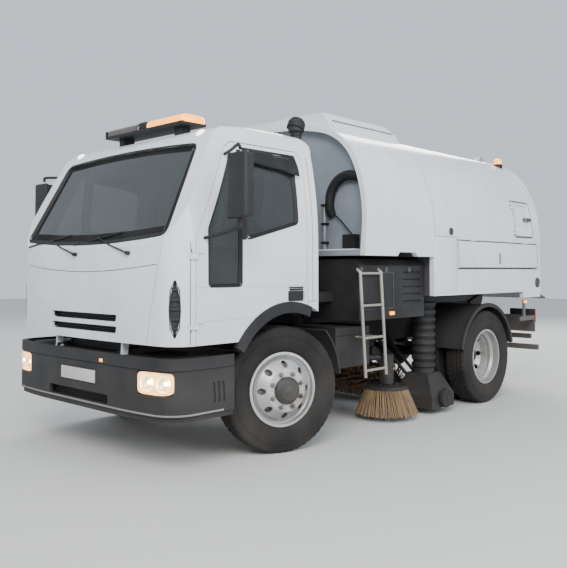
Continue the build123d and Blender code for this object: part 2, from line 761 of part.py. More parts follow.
def front_seams():
    """Grooves round the front flap: a sagging line under the screen and two leaning sides."""
    high, sag = 1500, 56
    reach = CAB_HALF_W - 190
    line = make_face([
        ThreePointArc((-reach, high), (0, high - sag), (reach, high)),
        Line((reach, high), (reach, high + SEAM_W)),
        ThreePointArc((reach, high + SEAM_W), (0, high - sag + SEAM_W), (-reach, high + SEAM_W)),
        Line((-reach, high + SEAM_W), (-reach, high)),
    ])
    side = outline(
        (CAB_HALF_W - 150, SCREEN_LOW_Z + 5), (CAB_HALF_W - 315, CAB_LOW - 5),
        (CAB_HALF_W - 315 + SEAM_W, CAB_LOW - 5), (CAB_HALF_W - 150 + SEAM_W, SCREEN_LOW_Z + 5),
    )
    x = (CAB_FACE - 250, CAB_FACE + 60)
    grooves = from_end(line, *x) + both_sides(from_end(side, *x))
    return grooves - cab_form(SEAM_DEPTH)


def corner_inlet():
    """Spindle-shaped recess in the cab's left front corner, with bars left standing across it."""
    wide, tall = INLET_HALF
    spindle = make_face([
        ThreePointArc((0, -tall), (wide, 0), (0, tall)),
        ThreePointArc((0, tall), (-wide, 0), (0, -tall)),
    ])
    for i in range(-2, 3):
        spindle -= Pos(0, i * 68) * Rectangle(2 * wide + 10, 14)
    face = Plane(
        origin=(CAB_FACE + 200, CAB_HALF_W + 225, INLET_Z), x_dir=(1, -1, 0), z_dir=(-1, -1, 0)
    )
    return extrude(face * spindle, amount=700) - cab_form(INLET_DEPTH)


def cab_shell(skin):
    """Cab skin with floor, screen, rear window and door openings, grille slots and tilt arms."""
    shell = skin - front_seams() - both_sides(corner_inlet())
    aperture = both_sides(from_side(door_face(MOVING_GAP), *DOOR_REACH))
    shell -= aperture
    arch = wheel_arch(WING_R + 3, -DOOR_REACH[1], DOOR_REACH[1])
    shell -= arch & block((CAB_REAR - 10, FRONT_X + 700), (-DOOR_REACH[1], DOOR_REACH[1]), (0, FLOOR_LOW))
    shell -= from_end(screen_face(), FRONT_X + 400, FRONT_X + 1300)
    shell -= from_end(Pos(0, REAR_WINDOW_Z) * rear_window(), CAB_REAR - 100, CAB_REAR + 200)
    shell -= block((CAB_REAR - 10, CAB_REAR + 80), (55 - CAB_HALF_W, CAB_HALF_W - 55), (800, FLOOR_LOW))
    for z in (985, 1072):
        slot = fillet(outline((-470, z), (470, z), (480, z + 52), (-480, z + 52)).vertices(), 12)
        shell -= from_end(slot, CAB_FACE - 120, CAB_FACE + 80)
    floor = cab_form(CAB_WALL / 2)
    floor &= block((CAB_REAR, CAB_FACE), (-DOOR_REACH[1], DOOR_REACH[1]), (FLOOR_LOW, FLOOR_LOW + FLOOR_T))
    floor -= aperture
    shell += floor
    leaves = [hinge_leaf(z, 1) for z in HINGE_ZS]
    return shell + both_sides(tilt_arm() + leaves)


def tilt_arm():
    """Arm from the cab floor down to the tilt pin, with the pin itself."""
    face = outline(
        (TILT_X - 22, TILT_Z), (TILT_X + 22, TILT_Z), (TILT_X + 10, FLOOR_LOW + 5),
        (TILT_X - 260, FLOOR_LOW + 5), (TILT_X - 60, FLOOR_LOW - 120),
    )
    arm = from_side(face, TILT_ARM_Y, TILT_ARM_Y + TILT_ARM_T)
    arm += rod((TILT_X, TILT_ARM_Y, TILT_Z), (TILT_X, TILT_ARM_Y + TILT_ARM_T, TILT_Z), 26)
    return arm + rod((TILT_X, RAIL_Y + 2, TILT_Z), (TILT_X, TILT_ARM_Y + 5, TILT_Z), TILT_PIN_R)


def glass_layer():
    return cab_form(GLASS_INSET) - cab_form(GLASS_INSET + GLASS_T)


def cab_glass(layer):
    screen = layer & from_end(screen_face(), FRONT_X + 400, FRONT_X + 1300)
    rear = layer & from_end(Pos(0, REAR_WINDOW_Z) * rear_window(), CAB_REAR - 100, CAB_REAR + 200)
    return Part() + screen + rear


def door_windows():
    return from_side(main_window(), *DOOR_REACH) + from_side(quarter_window(), *DOOR_REACH)


def left_door(skin):
    """Door cut from the cab's skin, with its windows, handle recess and hinge knuckles."""
    door = skin & from_side(door_face(0), *DOOR_REACH)
    door -= wheel_arch(WING_R + 3, *DOOR_REACH)
    door -= door_windows()
    door -= door_creases()
    recess = Pos(HANDLE_X, HANDLE_Z) * fillet(Rectangle(*HANDLE_SIZE).vertices(), 22)
    door -= from_side(recess, CAB_HALF_W - 18, CAB_HALF_W + 10)
    grip = Pos(HANDLE_X, HANDLE_Z + 36) * Rectangle(HANDLE_SIZE[0] + 4, 22)
    door += from_side(grip, CAB_HALF_W - 12, CAB_HALF_W - 2)
    for z in HINGE_ZS:
        door += hinge_leaf(z, -1)
        door += rod((HINGE_X, HINGE_Y, z - 38), (HINGE_X, HINGE_Y, z + 38), HINGE_PIN_R)
    return door


def door_creases():
    """Two pressed lines along the door's skin, cut no deeper than the seams."""
    lines = [block((DOOR_REAR - 5, DOOR_FRONT + 5), DOOR_REACH, (z, z + SEAM_W)) for z in CREASE_ZS]
    return (Part() + lines) - cab_form(SEAM_DEPTH)


def hinge_leaf(z, side):
    """Half of a door hinge: the lower knuckle is the cab's and the upper one the door's."""
    low = z - 40 if side > 0 else z + 1
    high = z - 1 if side > 0 else z + 40
    knuckle = rod((HINGE_X, HINGE_Y, low), (HINGE_X, HINGE_Y, high), HINGE_R)
    ends = sorted((HINGE_X + side * (HINGE_R - 4), HINGE_X + side * 60))
    leaf = block(ends, (CAB_HALF_W - 4, HINGE_Y + 3), (low, high))
    joined = knuckle + leaf
    if side > 0:
        bore_r = HINGE_PIN_R + PIN_CLEARANCE
        joined -= rod((HINGE_X, HINGE_Y, z - 60), (HINGE_X, HINGE_Y, z + 60), bore_r)
    return joined


def door_glass(layer):
    return layer & door_windows()


def cab_interior():
    """Dashboard across the cab, steering column with its wheel, and two seats on the floor."""
    floor_z = FLOOR_LOW + FLOOR_T
    dash = from_side(
        outline(
            (FRONT_X + 760, floor_z), (FRONT_X + 1060, floor_z), (FRONT_X + 1070, 1620),
            (FRONT_X + 850, 1650), (FRONT_X + 720, 1560), (FRONT_X + 740, 1460),
        ),
        135 - CAB_HALF_W, CAB_HALF_W - 135,
    )
    column = rod((FRONT_X + 780, -520, 1480), (FRONT_X + 640, -520, 1640), 28)
    wheel = Pos(FRONT_X + 640, -520, 1640) * Rot(0, -41, 0) * Torus(210, 15)
    spoke = Pos(FRONT_X + 640, -520, 1640) * Rot(0, -41, 0) * Box(60, 420, 16)
    seats = []
    for y in (-520, 520):
        pedestal = block((FRONT_X - 10, FRONT_X + 400), (y - 200, y + 200), (floor_z, floor_z + 260))
        cushion = block((FRONT_X - 60, FRONT_X + 450), (y - 240, y + 240), (floor_z + 250, floor_z + 390))
        back = outline(
            (FRONT_X - 60, floor_z + 300), (FRONT_X + 60, floor_z + 300), (FRONT_X - 40, floor_z + 1010),
            (FRONT_X - 150, floor_z + 1010),
        )
        rest = from_side(fillet(back.vertices(), 30), y - 230, y + 230)
        seats += [pedestal, fillet(cushion.edges().filter_by(Axis.Y), 30), rest]
    return Part() + (dash + column + wheel + spoke) + seats


def roof_light_bar():
    """Light bar on two feet across the cab roof."""
    x = LIGHT_BAR_X
    low, high = LIGHT_BAR_Z
    face = outline((x - 140, low), (x + 140, low), (x + 130, high), (x - 130, high))
    bar = from_side(fillet(face.vertices(), 30), -560, 560)
    feet = [block((x - 60, x + 60), (y - 40, y + 40), (CAB_TOP - 150, low + 10)) for y in (-400, 400)]
    return (bar + feet) - cab_form(0)


def left_mirror():
    """Mirror head on an upper and a lower arm from the door frame."""
    x = FRONT_X + 790
    y = CAB_HALF_W + 265
    head = block((x - 45, x + 45), (y - 95, y + 95), (1830, 2290))
    head = fillet(head.edges().filter_by(Axis.Z), 30)
    drop = rod((x, y, 1755), (x, y, 2362), 15)
    upper = rod((FRONT_X + 635, CAB_HALF_W - 100, 2330), (x, y, 2345), 11) - cab_form(0)
    lower = rod((FRONT_X + 900, CAB_HALF_W - 20, 1690), (x, y, 1773), 11) - cab_form(0)
    return head + drop + upper + lower


def left_wing():
    """Wheel-arch liner with an outer lip under the cab, on a post from the floor."""
    centre = Pos(FRONT_X, AXLE_Z)
    liner_r = WING_INNER_R + 15
    ring = centre * Circle(liner_r + WING_T) - centre * Circle(liner_r)
    lip = centre * Circle(WING_R) - centre * Circle(WING_INNER_R)
    span = outline(
        (FRONT_X, AXLE_Z), (FRONT_X + 1000, AXLE_Z + 640), (FRONT_X + 1000, 2000), (FRONT_X - 600, 2000),
    )
    piece = from_side(ring & span, WING_INNER_Y, WING_OUTER_Y)
    piece += from_side(lip & span, WING_OUTER_Y - 45, WING_OUTER_Y)
    post = block((FRONT_X - 40, FRONT_X + 40), (760, 800), (AXLE_Z + liner_r + 5, FLOOR_LOW))
    return piece + post


def bumper_plan(inset):
    w = BUMPER_HALF_W - inset
    face = BUMPER_FACE - inset
    back = BUMPER_BACK if inset == 0 else BUMPER_BACK - 50
    edges = [
        Line((back, -w), (face - 230, -w)),
        ThreePointArc((face - 230, -w), (face - 95, -w + 60), (face - 32, -w + 190)),
        ThreePointArc((face - 32, -w + 190), (face - 8, -w + 420), (face, -w + 640)),
        Line((face, -w + 640), (face, w - 640)),
        ThreePointArc((face, w - 640), (face - 8, w - 420), (face - 32, w - 190)),
        ThreePointArc((face - 32, w - 190), (face - 95, w - 60), (face - 230, w)),
        Line((face - 230, w), (back, w)),
        Line((back, w), (back, -w)),
    ]
    return make_face(edges)


def front_bumper():
    """Moulded bumper with side wings, a step, a drawn-in lip, lamp openings and a low intake."""
    inner = from_top(bumper_plan(BUMPER_T), BUMPER_LOW - 10, BUMPER_TOP + 10)
    skin = from_top(bumper_plan(0), BUMPER_LOW, BUMPER_TOP) - inner
    for z, tall, depth in ((BUMPER_STEP_Z, 8, 6), (BUMPER_LOW - 5, 45, 14)):
        band = from_top(bumper_plan(-10), z, z + tall) - from_top(bumper_plan(depth), z - 5, z + tall + 5)
        skin -= band
    for i in range(3):
        slot_x = BUMPER_BACK + 90 + i * 45
        slot = fillet(outline(
            (slot_x, 500), (slot_x + 24, 500), (slot_x + 34, 650), (slot_x + 10, 650)
        ).vertices(), 8)
        skin -= both_sides(from_side(slot, BUMPER_HALF_W - 9, BUMPER_HALF_W + 10))
    x = (BUMPER_FACE - 260, BUMPER_FACE + 20)
    for side in (-1, 1):
        opening = Pos(side * LAMP_Y, LAMP_Z) * fillet(Rectangle(LAMP_W, LAMP_H).vertices(), 35)
        skin -= from_end(opening, *x)
    intake = Pos(0, 490) * fillet(Rectangle(860, 70).vertices(), 20)
    skin -= from_end(intake, *x)
    plate_seat = Pos(0, PLATE_Z) * Rectangle(PLATE_W + 4, PLATE_H + 4)
    return skin - from_end(plate_seat, BUMPER_FACE - PLATE_T - 1, BUMPER_FACE + 5)


def chassis_brackets(side):
    """Bored brackets on one rail for the tipping ram, the brush arm and the wide brush."""
    ram = block(
        (RAM_BASE_X - 40, RAM_BASE_X + 40), sorted((side * 62, side * 80)),
        (RAIL_TOP - RAIL_T - 10, RAM_BASE_Z + 32),
    )
    bore_r = RAM_PIN_R + PIN_CLEARANCE
    ram -= rod((RAM_BASE_X, -90, RAM_BASE_Z), (RAM_BASE_X, 90, RAM_BASE_Z), bore_r)
    arm = block(
        (BRUSH_ARM_X - 45, BRUSH_ARM_X + 45), sorted((side * (RAIL_Y - 5), side * (BRUSH_ARM_Y + 45))),
        (BRUSH_BRACKET_Z, BRUSH_BRACKET_Z + 30),
    )
    foot = (BRUSH_ARM_X, side * BRUSH_ARM_Y)
    arm -= rod((*foot, BRUSH_BRACKET_Z - 5), (*foot, BRUSH_BRACKET_Z + 40), BRUSH_PIN_R + PIN_CLEARANCE)
    x = (WIDE_PIVOT_X - 40, WIDE_PIVOT_X + 40)
    plate_y = sorted((side * (WIDE_ARM_Y - 30), side * (WIDE_ARM_Y - 5)))
    reach_y = sorted((side * (RAIL_Y - 5), side * (WIDE_ARM_Y - 20)))
    wide = block(x, plate_y, (WIDE_PIVOT_Z - 40, RAIL_LOW + 30))
    wide += block(x, reach_y, (RAIL_LOW, RAIL_LOW + 30))
    wide -= rod(
        (WIDE_PIVOT_X, -WIDE_ARM_Y, WIDE_PIVOT_Z), (WIDE_PIVOT_X, WIDE_ARM_Y, WIDE_PIVOT_Z),
        WIDE_PIN_R + PIN_CLEARANCE,
    )
    return ram + arm + wide


# Hopper


def hopper_section(inset):
    """Section of the hopper: upright sides, tightening shoulders and a flat crown."""
    y = HOPPER_HALF_W - inset
    z = HOPPER_SHOULDER
    edges = [Line((0, 700), (y, 700)), Line((y, 700), (y, z))]
    angle = 0
    arcs = ROOF_ARCS + [(None, 90 - sum(turn for _, turn in ROOF_ARCS))]
    for radius, turn in arcs:
        start = math.radians(angle)
        end = math.radians(angle + turn)
        middle = (start + end) / 2
        bend = radius - inset if radius else y / math.cos(start)
        points = [
            (y - bend * (math.cos(start) - math.cos(a)), z + bend * (math.sin(a) - math.sin(start)))
            for a in (start, middle, end)
        ]
        edges.append(ThreePointArc(*points))
        y, z = points[2]
        angle += turn
    edges.append(Line((0, z), (0, 700)))
    half = make_face(edges)
    return half + mirror(half, about=Plane.YZ)


def hopper_form(inset, x_low, x_high, z_low):
    form = from_end(hopper_section(inset), x_low, x_high)
    return form - block((x_low - 5, x_high + 5), HOPPER_SPAN, (600, z_low))


def hopper_lean():
    """What stands ahead of the leaning front edge, in side view."""
    ahead = HOPPER_FRONT + 100
    return outline(
        (HOPPER_FRONT, STEP_Z), (ahead, STEP_Z), (ahead, HOPPER_ABOVE),
        (HOPPER_FRONT - FRONT_LEAN, HOPPER_ABOVE),
    )


def hopper_notch():
    """Cut-out in the lower edge over the auxiliary engine's air inlet, in side view."""
    x = HOPPER_FRONT
    return outline(
        (x - 500, STEP_Z - 5), (x - 540, STEP_Z + 38), (x - 800, STEP_Z + 38), (x - 850, STEP_Z - 5)
    )


def hopper_shell():
    """Side walls and roof of the hopper, with the lid and hatch openings and the door's brackets."""
    shell = hopper_form(0, HOPPER_REAR, HOPPER_FRONT, SKIRT_LOW)
    shell -= hopper_form(HOPPER_WALL, HOPPER_REAR - 5, HOPPER_FRONT + 5, SKIRT_LOW - 5)
    shell -= block((SKIRT_X, STEP_X), HOPPER_SPAN, (SKIRT_LOW - 5, HOPPER_LOW))
    shell -= block((STEP_X, HOPPER_FRONT + 5), HOPPER_SPAN, (SKIRT_LOW - 5, STEP_Z))
    shell -= from_side(hopper_lean(), *HOPPER_SPAN) + from_side(hopper_notch(), *HOPPER_SPAN)
    shell -= both_sides(locker_box(0))
    shell -= both_sides(hatch_block(HATCH_GAP))
    for _, fixed, room, _ in lid_hinges() + hatch_hinges():
        shell -= both_sides(room)
        shell += both_sides(fixed)
    return shell + both_sides(tail_bracket())


def hopper_floor():
    """Stepped floor between the walls with the front bulkhead, runners, ram lugs and apron."""
    reach = HOPPER_HALF_W - HOPPER_WALL - SEAT_GAP
    high = STEP_Z + HOPPER_WALL
    riser = STEP_X - HOPPER_WALL
    steps = outline(
        (HOPPER_REAR, HOPPER_LOW), (STEP_X, HOPPER_LOW), (STEP_X, STEP_Z), (HOPPER_FRONT, STEP_Z),
        (HOPPER_FRONT - FRONT_LEAN * HOPPER_WALL / (HOPPER_ABOVE - STEP_Z), high), (riser, high),
        (riser, HOPPER_LOW + FLOOR_DEPTH), (HOPPER_REAR, HOPPER_LOW + FLOOR_DEPTH),
    )
    floor = from_side(steps, -reach, reach) - from_side(hopper_notch(), *HOPPER_SPAN)
    face = HOPPER_FRONT - FRONT_LEAN - BULKHEAD_SETBACK
    floor += hopper_form(HOPPER_WALL + SEAT_GAP, face - HOPPER_WALL, face, high - 5)
    return floor + both_sides(hopper_runner()) + apron()


def pin_hinge(start, end, radius):
    """Three-knuckle hinge: moving knuckle with its pin, fixed knuckles, and the room it needs."""
    start, end = Vector(*start), Vector(*end)
    third = (end - start) / 3
    play = third.normalized()
    pin = rod(start, end, radius / 2)
    middle = rod(start + third + play, end - third - play, radius)
    sides = rod(start, start + third, radius) + rod(end - third, end, radius)
    sides -= rod(start - play, end + play, radius / 2 + PIN_CLEARANCE)
    room = rod(start + third, end - third, radius + SEAT_GAP)
    recess = rod(start - play, start + third + play, radius + SEAT_GAP)
    recess += rod(end - third - play, end + play, radius + SEAT_GAP)
    return middle + pin, sides, room, recess


def lid_hinges():
    """The two hinges of the left locker lid, as moving, fixed and room parts."""
    y, z = LID_AXIS
    return [
        pin_hinge((x - 45, y, z), (x + 45, y, z), 7) for x in (LOCKER_X[0] + 320, LOCKER_X[1] - 320)
    ]


def hatch_hinges():
    """The two hinges of the left hatch, on an axis that leans with the skin."""
    x = HATCH_X[1] + HATCH_GAP / 2
    low = Vector(x, *HATCH_AXIS_LOW)
    high = Vector(x, *HATCH_AXIS_HIGH)
    run = high - low
    hinges = []
    for share in (0.06, 0.78):
        start = low + run * share
        end = start + run * 0.16
        moving, fixed, room, recess = pin_hinge(start, end, 9)
        third = run * (0.16 / 3)
        for i, side in ((0, 1), (1, -1), (2, 1)):
            base = start + third * (i + 0.5)
            half = third.length / 2 - 3
            reach = sorted((x, x + side * 40))
            leaf = block(reach, (base.Y - 46, base.Y + 4), (base.Z - half, base.Z + half))
            if side > 0:
                fixed += leaf
            else:
                moving += leaf
        bore = rod(low + run * (share - 0.02), low + run * (share + 0.18), 4.5 + PIN_CLEARANCE)
        pin = rod(start, end, 4.5)
        hinges.append((moving + pin, fixed - bore, room, recess))
    return hinges


def locker_box(wall):
    """Room behind a side lid, out through the skin; a wall thickness gives the outside of its liner."""
    x = (LOCKER_X[0] - MOVING_GAP - wall, LOCKER_X[1] + MOVING_GAP + wall)
    z = (LOCKER_Z[0] - LID_SWING_GAP - wall, LOCKER_Z[1] + MOVING_GAP + wall)
    y_out = HOPPER_HALF_W - HOPPER_WALL - SEAT_GAP if wall else HOPPER_HALF_W + 5
    return block(x, (HOPPER_HALF_W - LOCKER_DEPTH - wall, y_out), z)


def left_locker_liner():
    """Open box behind the side lid, seated on the inside of the wall."""
    return locker_box(LINER_T) - locker_box(0)


def hatch_block(gap):
    x = (HATCH_X[0] - gap, HATCH_X[1] + gap)
    z = (HATCH_Z[0] - gap, HATCH_Z[1] + gap)
    return block(x, (HOPPER_HALF_W - 245, HOPPER_SPAN[1]), z)


def hopper_runner():
    """Runner under the floor with the rear ear and pin, and one side of the ram's eye bracket."""
    y = (RAIL_Y - SUBFRAME_W + 5, RAIL_Y - 6)
    runner = block((TIP_X, STEP_X - 60), y, (RUNNER_LOW, HOPPER_LOW + 5))
    ear = rod((TIP_X, y[0], TIP_Z), (TIP_X, y[1], TIP_Z), EAR_R)
    for x in ((TIP_X, TIP_X + EAR_R + 10), (TIP_X - 20, TIP_X + 20)):
        ear += block(x, y, (TIP_Z, HOPPER_LOW + 5))
    pin = rod((TIP_X, y[0] + 5, TIP_Z), (TIP_X, RAIL_Y + 25, TIP_Z), TIP_PIN_R)
    hole_x = RAM_EYE_X + RAM_DRIFT[0]
    hole_z = RAM_EYE_Z + RAM_DRIFT[1]
    hole_r = RAM_PIN_R + RAM_DRIFT_R
    plate = block((hole_x - 70, hole_x + 70), (46, 62), (hole_z - 62, HOPPER_LOW + 5))
    plate -= rod((hole_x, 40, hole_z), (hole_x, 70, hole_z), hole_r)
    return runner + ear + pin + plate


def apron():
    """Sloping plate below the tail door that throws the load clear of the lamps."""
    tip = REAR_X - REAR_OVERHANG
    face = outline(
        (HOPPER_REAR + 80, HOPPER_LOW + 5), (HOPPER_REAR - 20, HOPPER_LOW - 8), (tip, TIP_Z - 8),
        (tip, TIP_Z - 8 - APRON_T), (HOPPER_REAR - 20, HOPPER_LOW - 8 - APRON_T),
        (HOPPER_REAR + 80, HOPPER_LOW - APRON_T),
    )
    reach = HOPPER_HALF_W - HOPPER_WALL - 5
    return from_side(face, -reach, reach)


def tail_bracket():
    """Hinge bracket on the hopper's roof for the tail door."""
    face = outline(
        (HOPPER_REAR + 170, CROWN_Z - 60), (HOPPER_REAR + 60, TAIL_HINGE_Z + 10),
        (TAIL_HINGE_X + 10, TAIL_HINGE_Z + 26), (TAIL_HINGE_X - 26, TAIL_HINGE_Z + 10),
        (TAIL_HINGE_X - 22, TAIL_HINGE_Z - 24), (HOPPER_REAR + 5, TAIL_HINGE_Z - 32),
        (HOPPER_REAR + 5, CROWN_Z - 60),
    )
    plate = from_side(face, TAIL_HINGE_Y, TAIL_HINGE_Y + 25)
    return plate - tail_pin(-5, 30, TAIL_PIN_R + PIN_CLEARANCE)


def tail_pin(low, high, radius):
    """Round bar on the tail door's hinge line, between two distances out from the bracket."""
    start = (TAIL_HINGE_X, TAIL_HINGE_Y + low, TAIL_HINGE_Z)
    return rod(start, (TAIL_HINGE_X, TAIL_HINGE_Y + high, TAIL_HINGE_Z), radius)


def tail_door():
    """Tail door with tapered lower corners, border, ribs, sill, hinge arms and the boom's post."""
    front = HOPPER_REAR - DOOR_GAP
    back = TAIL_BACK
    w = HOPPER_HALF_W
    taper = outline(
        (245 - w, TAIL_LOW), (w - 245, TAIL_LOW), (w - 60, 1520), (w + 10, 1900), (w + 10, HOPPER_ABOVE),
        (-w - 10, HOPPER_ABOVE), (-w - 10, 1900), (60 - w, 1520),
    )
    border = hopper_section(TAIL_INSET) - hopper_section(TAIL_INSET + BORDER_W)
    door = from_end(hopper_section(TAIL_INSET), back, front) + from_end(border, back - BORDER_T, back + 5)
    door &= from_end(taper, back - BORDER_T - 10, front + 10)
    door += tail_sill() + lock_channel()
    for y in (-600, 600):
        door += block((back - 38, back + 5), (y - 38, y + 38), (1300, 2300))
    door += block((back - 38, back + 5), (345 - w, w - 345), (2300, 2345))
    for y in (315 - w, w - 315):
        door += block((back - 30, back + 5), (y - 35, y + 35), (2420, 2540))
    arm = outline(
        (back + 2, CROWN_Z - 130), (front - 2, CROWN_Z - 130), (front - 2, CROWN_Z - 50),
        (TAIL_HINGE_X + 22, TAIL_HINGE_Z), (TAIL_HINGE_X, TAIL_HINGE_Z + 22),
        (TAIL_HINGE_X - 22, TAIL_HINGE_Z), (back + 2, CROWN_Z - 60),
    )
    arms = from_side(arm, TAIL_HINGE_Y + 30, TAIL_HINGE_Y + 60)
    door += both_sides(arms + tail_pin(0, 60, TAIL_PIN_R))
    shelf = outline(
        (back + 5, -560), (back + 5, 240), (BOOM_X - 45, 45), (BOOM_X - 45, -45), (back - 50, -560)
    )
    door += from_top(shelf, BOOM_Z - 60, BOOM_Z)
    return door + rod((BOOM_X, 0, BOOM_Z - 5), (BOOM_X, 0, BOOM_Z + 150), BOOM_PIN_R)


def tail_sill():
    """Ledge along the door's foot that sheds water outwards."""
    low, high = SILL_Z
    face = outline(
        (TAIL_BACK + 5, low - 10), (TAIL_BACK - 30, low), (TAIL_BACK - 30, low + 22), (TAIL_BACK + 5, high)
    )
    return from_side(face, 345 - HOPPER_HALF_W, HOPPER_HALF_W - 345)


def lock_channel():
    """Upright channel on the door's left with the cross handle of its lock."""
    low, high = 1400, 1980
    channel = block((TAIL_BACK - 26, TAIL_BACK + 5), (90, 210), (low, high))
    channel -= block((TAIL_BACK - 40, TAIL_BACK - 8), (125, 175), (low + 40, high - 40))
    grip = block((TAIL_BACK - 40, TAIL_BACK - 14), (40, 260), (1655, 1680))
    return channel + grip


def hose_boom():
    """Jib turning on the door's post, with the hose hanging from its end and the sign's stay."""
    sleeve = rod((BOOM_X, 0, BOOM_Z + 2), (BOOM_X, 0, BOOM_Z + 140), 40)
    jib = block((BOOM_X - 25, BOOM_X + 25), (30, 560), (BOOM_Z + 35, BOOM_Z + 95))
    drop = rod((BOOM_X, 545, BOOM_Z + 60), (BOOM_X, 340, 1290), 36)
    end = rod((BOOM_X, 342, 1300), (BOOM_X, 320, 1190), 50)
    stay = rod((BOOM_X, 400, SIGN_Z), (SIGN_BACK, 400, SIGN_Z), 16)
    bore = rod((BOOM_X, 0, BOOM_Z), (BOOM_X, 0, BOOM_Z + 150 + PIN_CLEARANCE), BOOM_PIN_R + PIN_CLEARANCE)
    return (sleeve + jib + drop + end + stay) - bore


def road_sign():
    return rod((SIGN_BACK, SIGN_Y, SIGN_Z), (SIGN_BACK - 6, SIGN_Y, SIGN_Z), SIGN_R)


def roof_cowl():
    """Raised outlet duct on the front of the hopper's roof, open at its rear end."""
    front = HOPPER_FRONT - FRONT_LEAN - 20
    back = front - DUCT_LENGTH
    duct = from_end(duct_section(0), back, front) - from_end(duct_section(25), back - 5, front - 25)
    slope = outline((back - 5, DUCT_TOP - 85), (back + 120, DUCT_TOP + 15), (back - 5, DUCT_TOP + 15))
    duct -= from_side(slope, -DUCT_HALF_W - 5, DUCT_HALF_W + 5)
    return duct - hopper_form(0, back - 10, front + 10, 1500)


def duct_section(inset):
    """Section of the outlet duct with its upper corners cut off, from under the roof's crown."""
    w = DUCT_HALF_W - inset
    corner = w - 100 + 0.5 * inset
    shoulder = DUCT_SHOULDER - 0.3 * inset
    top = DUCT_TOP - inset
    low = CROWN_Z - 210
    return outline((-w, low), (w, low), (w, shoulder), (corner, top), (-corner, top), (-w, shoulder))


def hopper_beacons():
    x = HOPPER_REAR + 200
    lamps = rod((x, BEACON_Y, BEACON_TOP - 145), (x, BEACON_Y, BEACON_TOP), BEACON_R)
    return both_sides(lamps - hopper_form(0, x - 100, x + 100, 1500))


def left_locker_lid():
    """Top-hung lid with a sloping upper face and a slot latch."""
    w = HOPPER_HALF_W
    low, high = LOCKER_Z
    bend = high - 130
    face = outline(
        (w - LID_T, low), (w + LID_PROUD, low), (w + LID_PROUD, bend), (w, high), (w - LID_T, high)
    )
    lid = from_end(face, *LOCKER_X)
    x_mid = (LOCKER_X[0] + LOCKER_X[1]) / 2 + 40
    lid -= block((x_mid - 12, x_mid + 12), (w + 6, w + 40), (low + 50, low + 165))
    for moving, _, _, recess in lid_hinges():
        lid = (lid - recess) + moving
    return lid


def left_hatch():
    """Hatch cut from the curved skin, with a raised border and a T-handle."""
    x = (HATCH_X[0] - 20, HATCH_X[1] + 20)
    skin = hopper_form(0, *x, 1700) - hopper_form(HATCH_T, *x, 1700)
    hatch = skin & hatch_block(0)
    frame = hopper_form(-12, *x, 1700) - hopper_form(5, *x, 1700)
    inner = block((HATCH_X[0] + 45, HATCH_X[1] - 45), HOPPER_SPAN, (HATCH_Z[0] + 45, HATCH_Z[1] - 45))
    hatch += (frame & hatch_block(0)) - inner
    z = (HATCH_Z[0] + HATCH_Z[1]) / 2
    handle = block(
        (HATCH_X[0] + 90, HATCH_X[0] + 210), (HOPPER_HALF_W - 40, HOPPER_HALF_W + 20), (z - 12, z + 12)
    )
    for moving, _, _, recess in hatch_hinges():
        hatch = (hatch - recess) + moving
    return hatch + handle


def tip_ram_barrel():
    run, end = ram_line()
    start = Vector(RAM_BASE_X, 0, RAM_BASE_Z)
    body = rod(start + run * 38, start + run * RAM_BARREL_L, RAM_R)
    eye = rod((RAM_BASE_X, -56, RAM_BASE_Z), (RAM_BASE_X, 56, RAM_BASE_Z), 34)
    pin = rod((RAM_BASE_X, -80, RAM_BASE_Z), (RAM_BASE_X, 80, RAM_BASE_Z), RAM_PIN_R)
    neck = rod(start, start + run * 60, 30)
    bore = rod(start + run * 70, start + run * (RAM_BARREL_L + 5), RAM_ROD_R + PIN_CLEARANCE)
    return ((body + neck) - bore) + eye + pin


def ram_line():
    start = Vector(RAM_BASE_X, 0, RAM_BASE_Z)
    end = Vector(RAM_EYE_X, 0, RAM_EYE_Z)
    return (end - start).normalized(), end


def tip_ram_rod():
    run, end = ram_line()
    start = Vector(RAM_BASE_X, 0, RAM_BASE_Z)
    bar = rod(start + run * 72, end, RAM_ROD_R)
    eye = rod((RAM_EYE_X, -40, RAM_EYE_Z), (RAM_EYE_X, 40, RAM_EYE_Z), 42)
    pin = rod((RAM_EYE_X, -72, RAM_EYE_Z), (RAM_EYE_X, 72, RAM_EYE_Z), RAM_PIN_R)
    heads = [rod((RAM_EYE_X, y, RAM_EYE_Z), (RAM_EYE_X, y + 8, RAM_EYE_Z), 54) for y in (-71, 63)]
    return bar + eye + pin + heads


# Pieces fixed to the chassis


def aux_engine_cowl():
    """Black enclosure of the auxiliary engine, stepped over the sub-frame."""
    y = COWL_HALF_W
    shape = outline(
        (-y, COWL_LOW), (-RAIL_Y - 30, COWL_LOW), (-RAIL_Y - 30, SUBFRAME_TOP),
        (RAIL_Y + 30, SUBFRAME_TOP), (RAIL_Y + 30, COWL_LOW), (y, COWL_LOW), (y, COWL_TOP - 60),
        (y - 60, COWL_TOP), (-y + 60, COWL_TOP), (-y, COWL_TOP - 60),
    )
    cowl = from_end(shape, STEP_X + 20, FRONT_X - 900)
    for i in range(LOUVRES):
        z = COWL_LOW + 130 + i * LOUVRE_PITCH
        slot = outline((y + 5, z - 5), (y + 5, z + 34), (y - LOUVRE_DEPTH, z + 34), (y, z))
        cowl -= both_sides(from_end(slot, STEP_X + 90, STEP_X + 390))
    return cowl


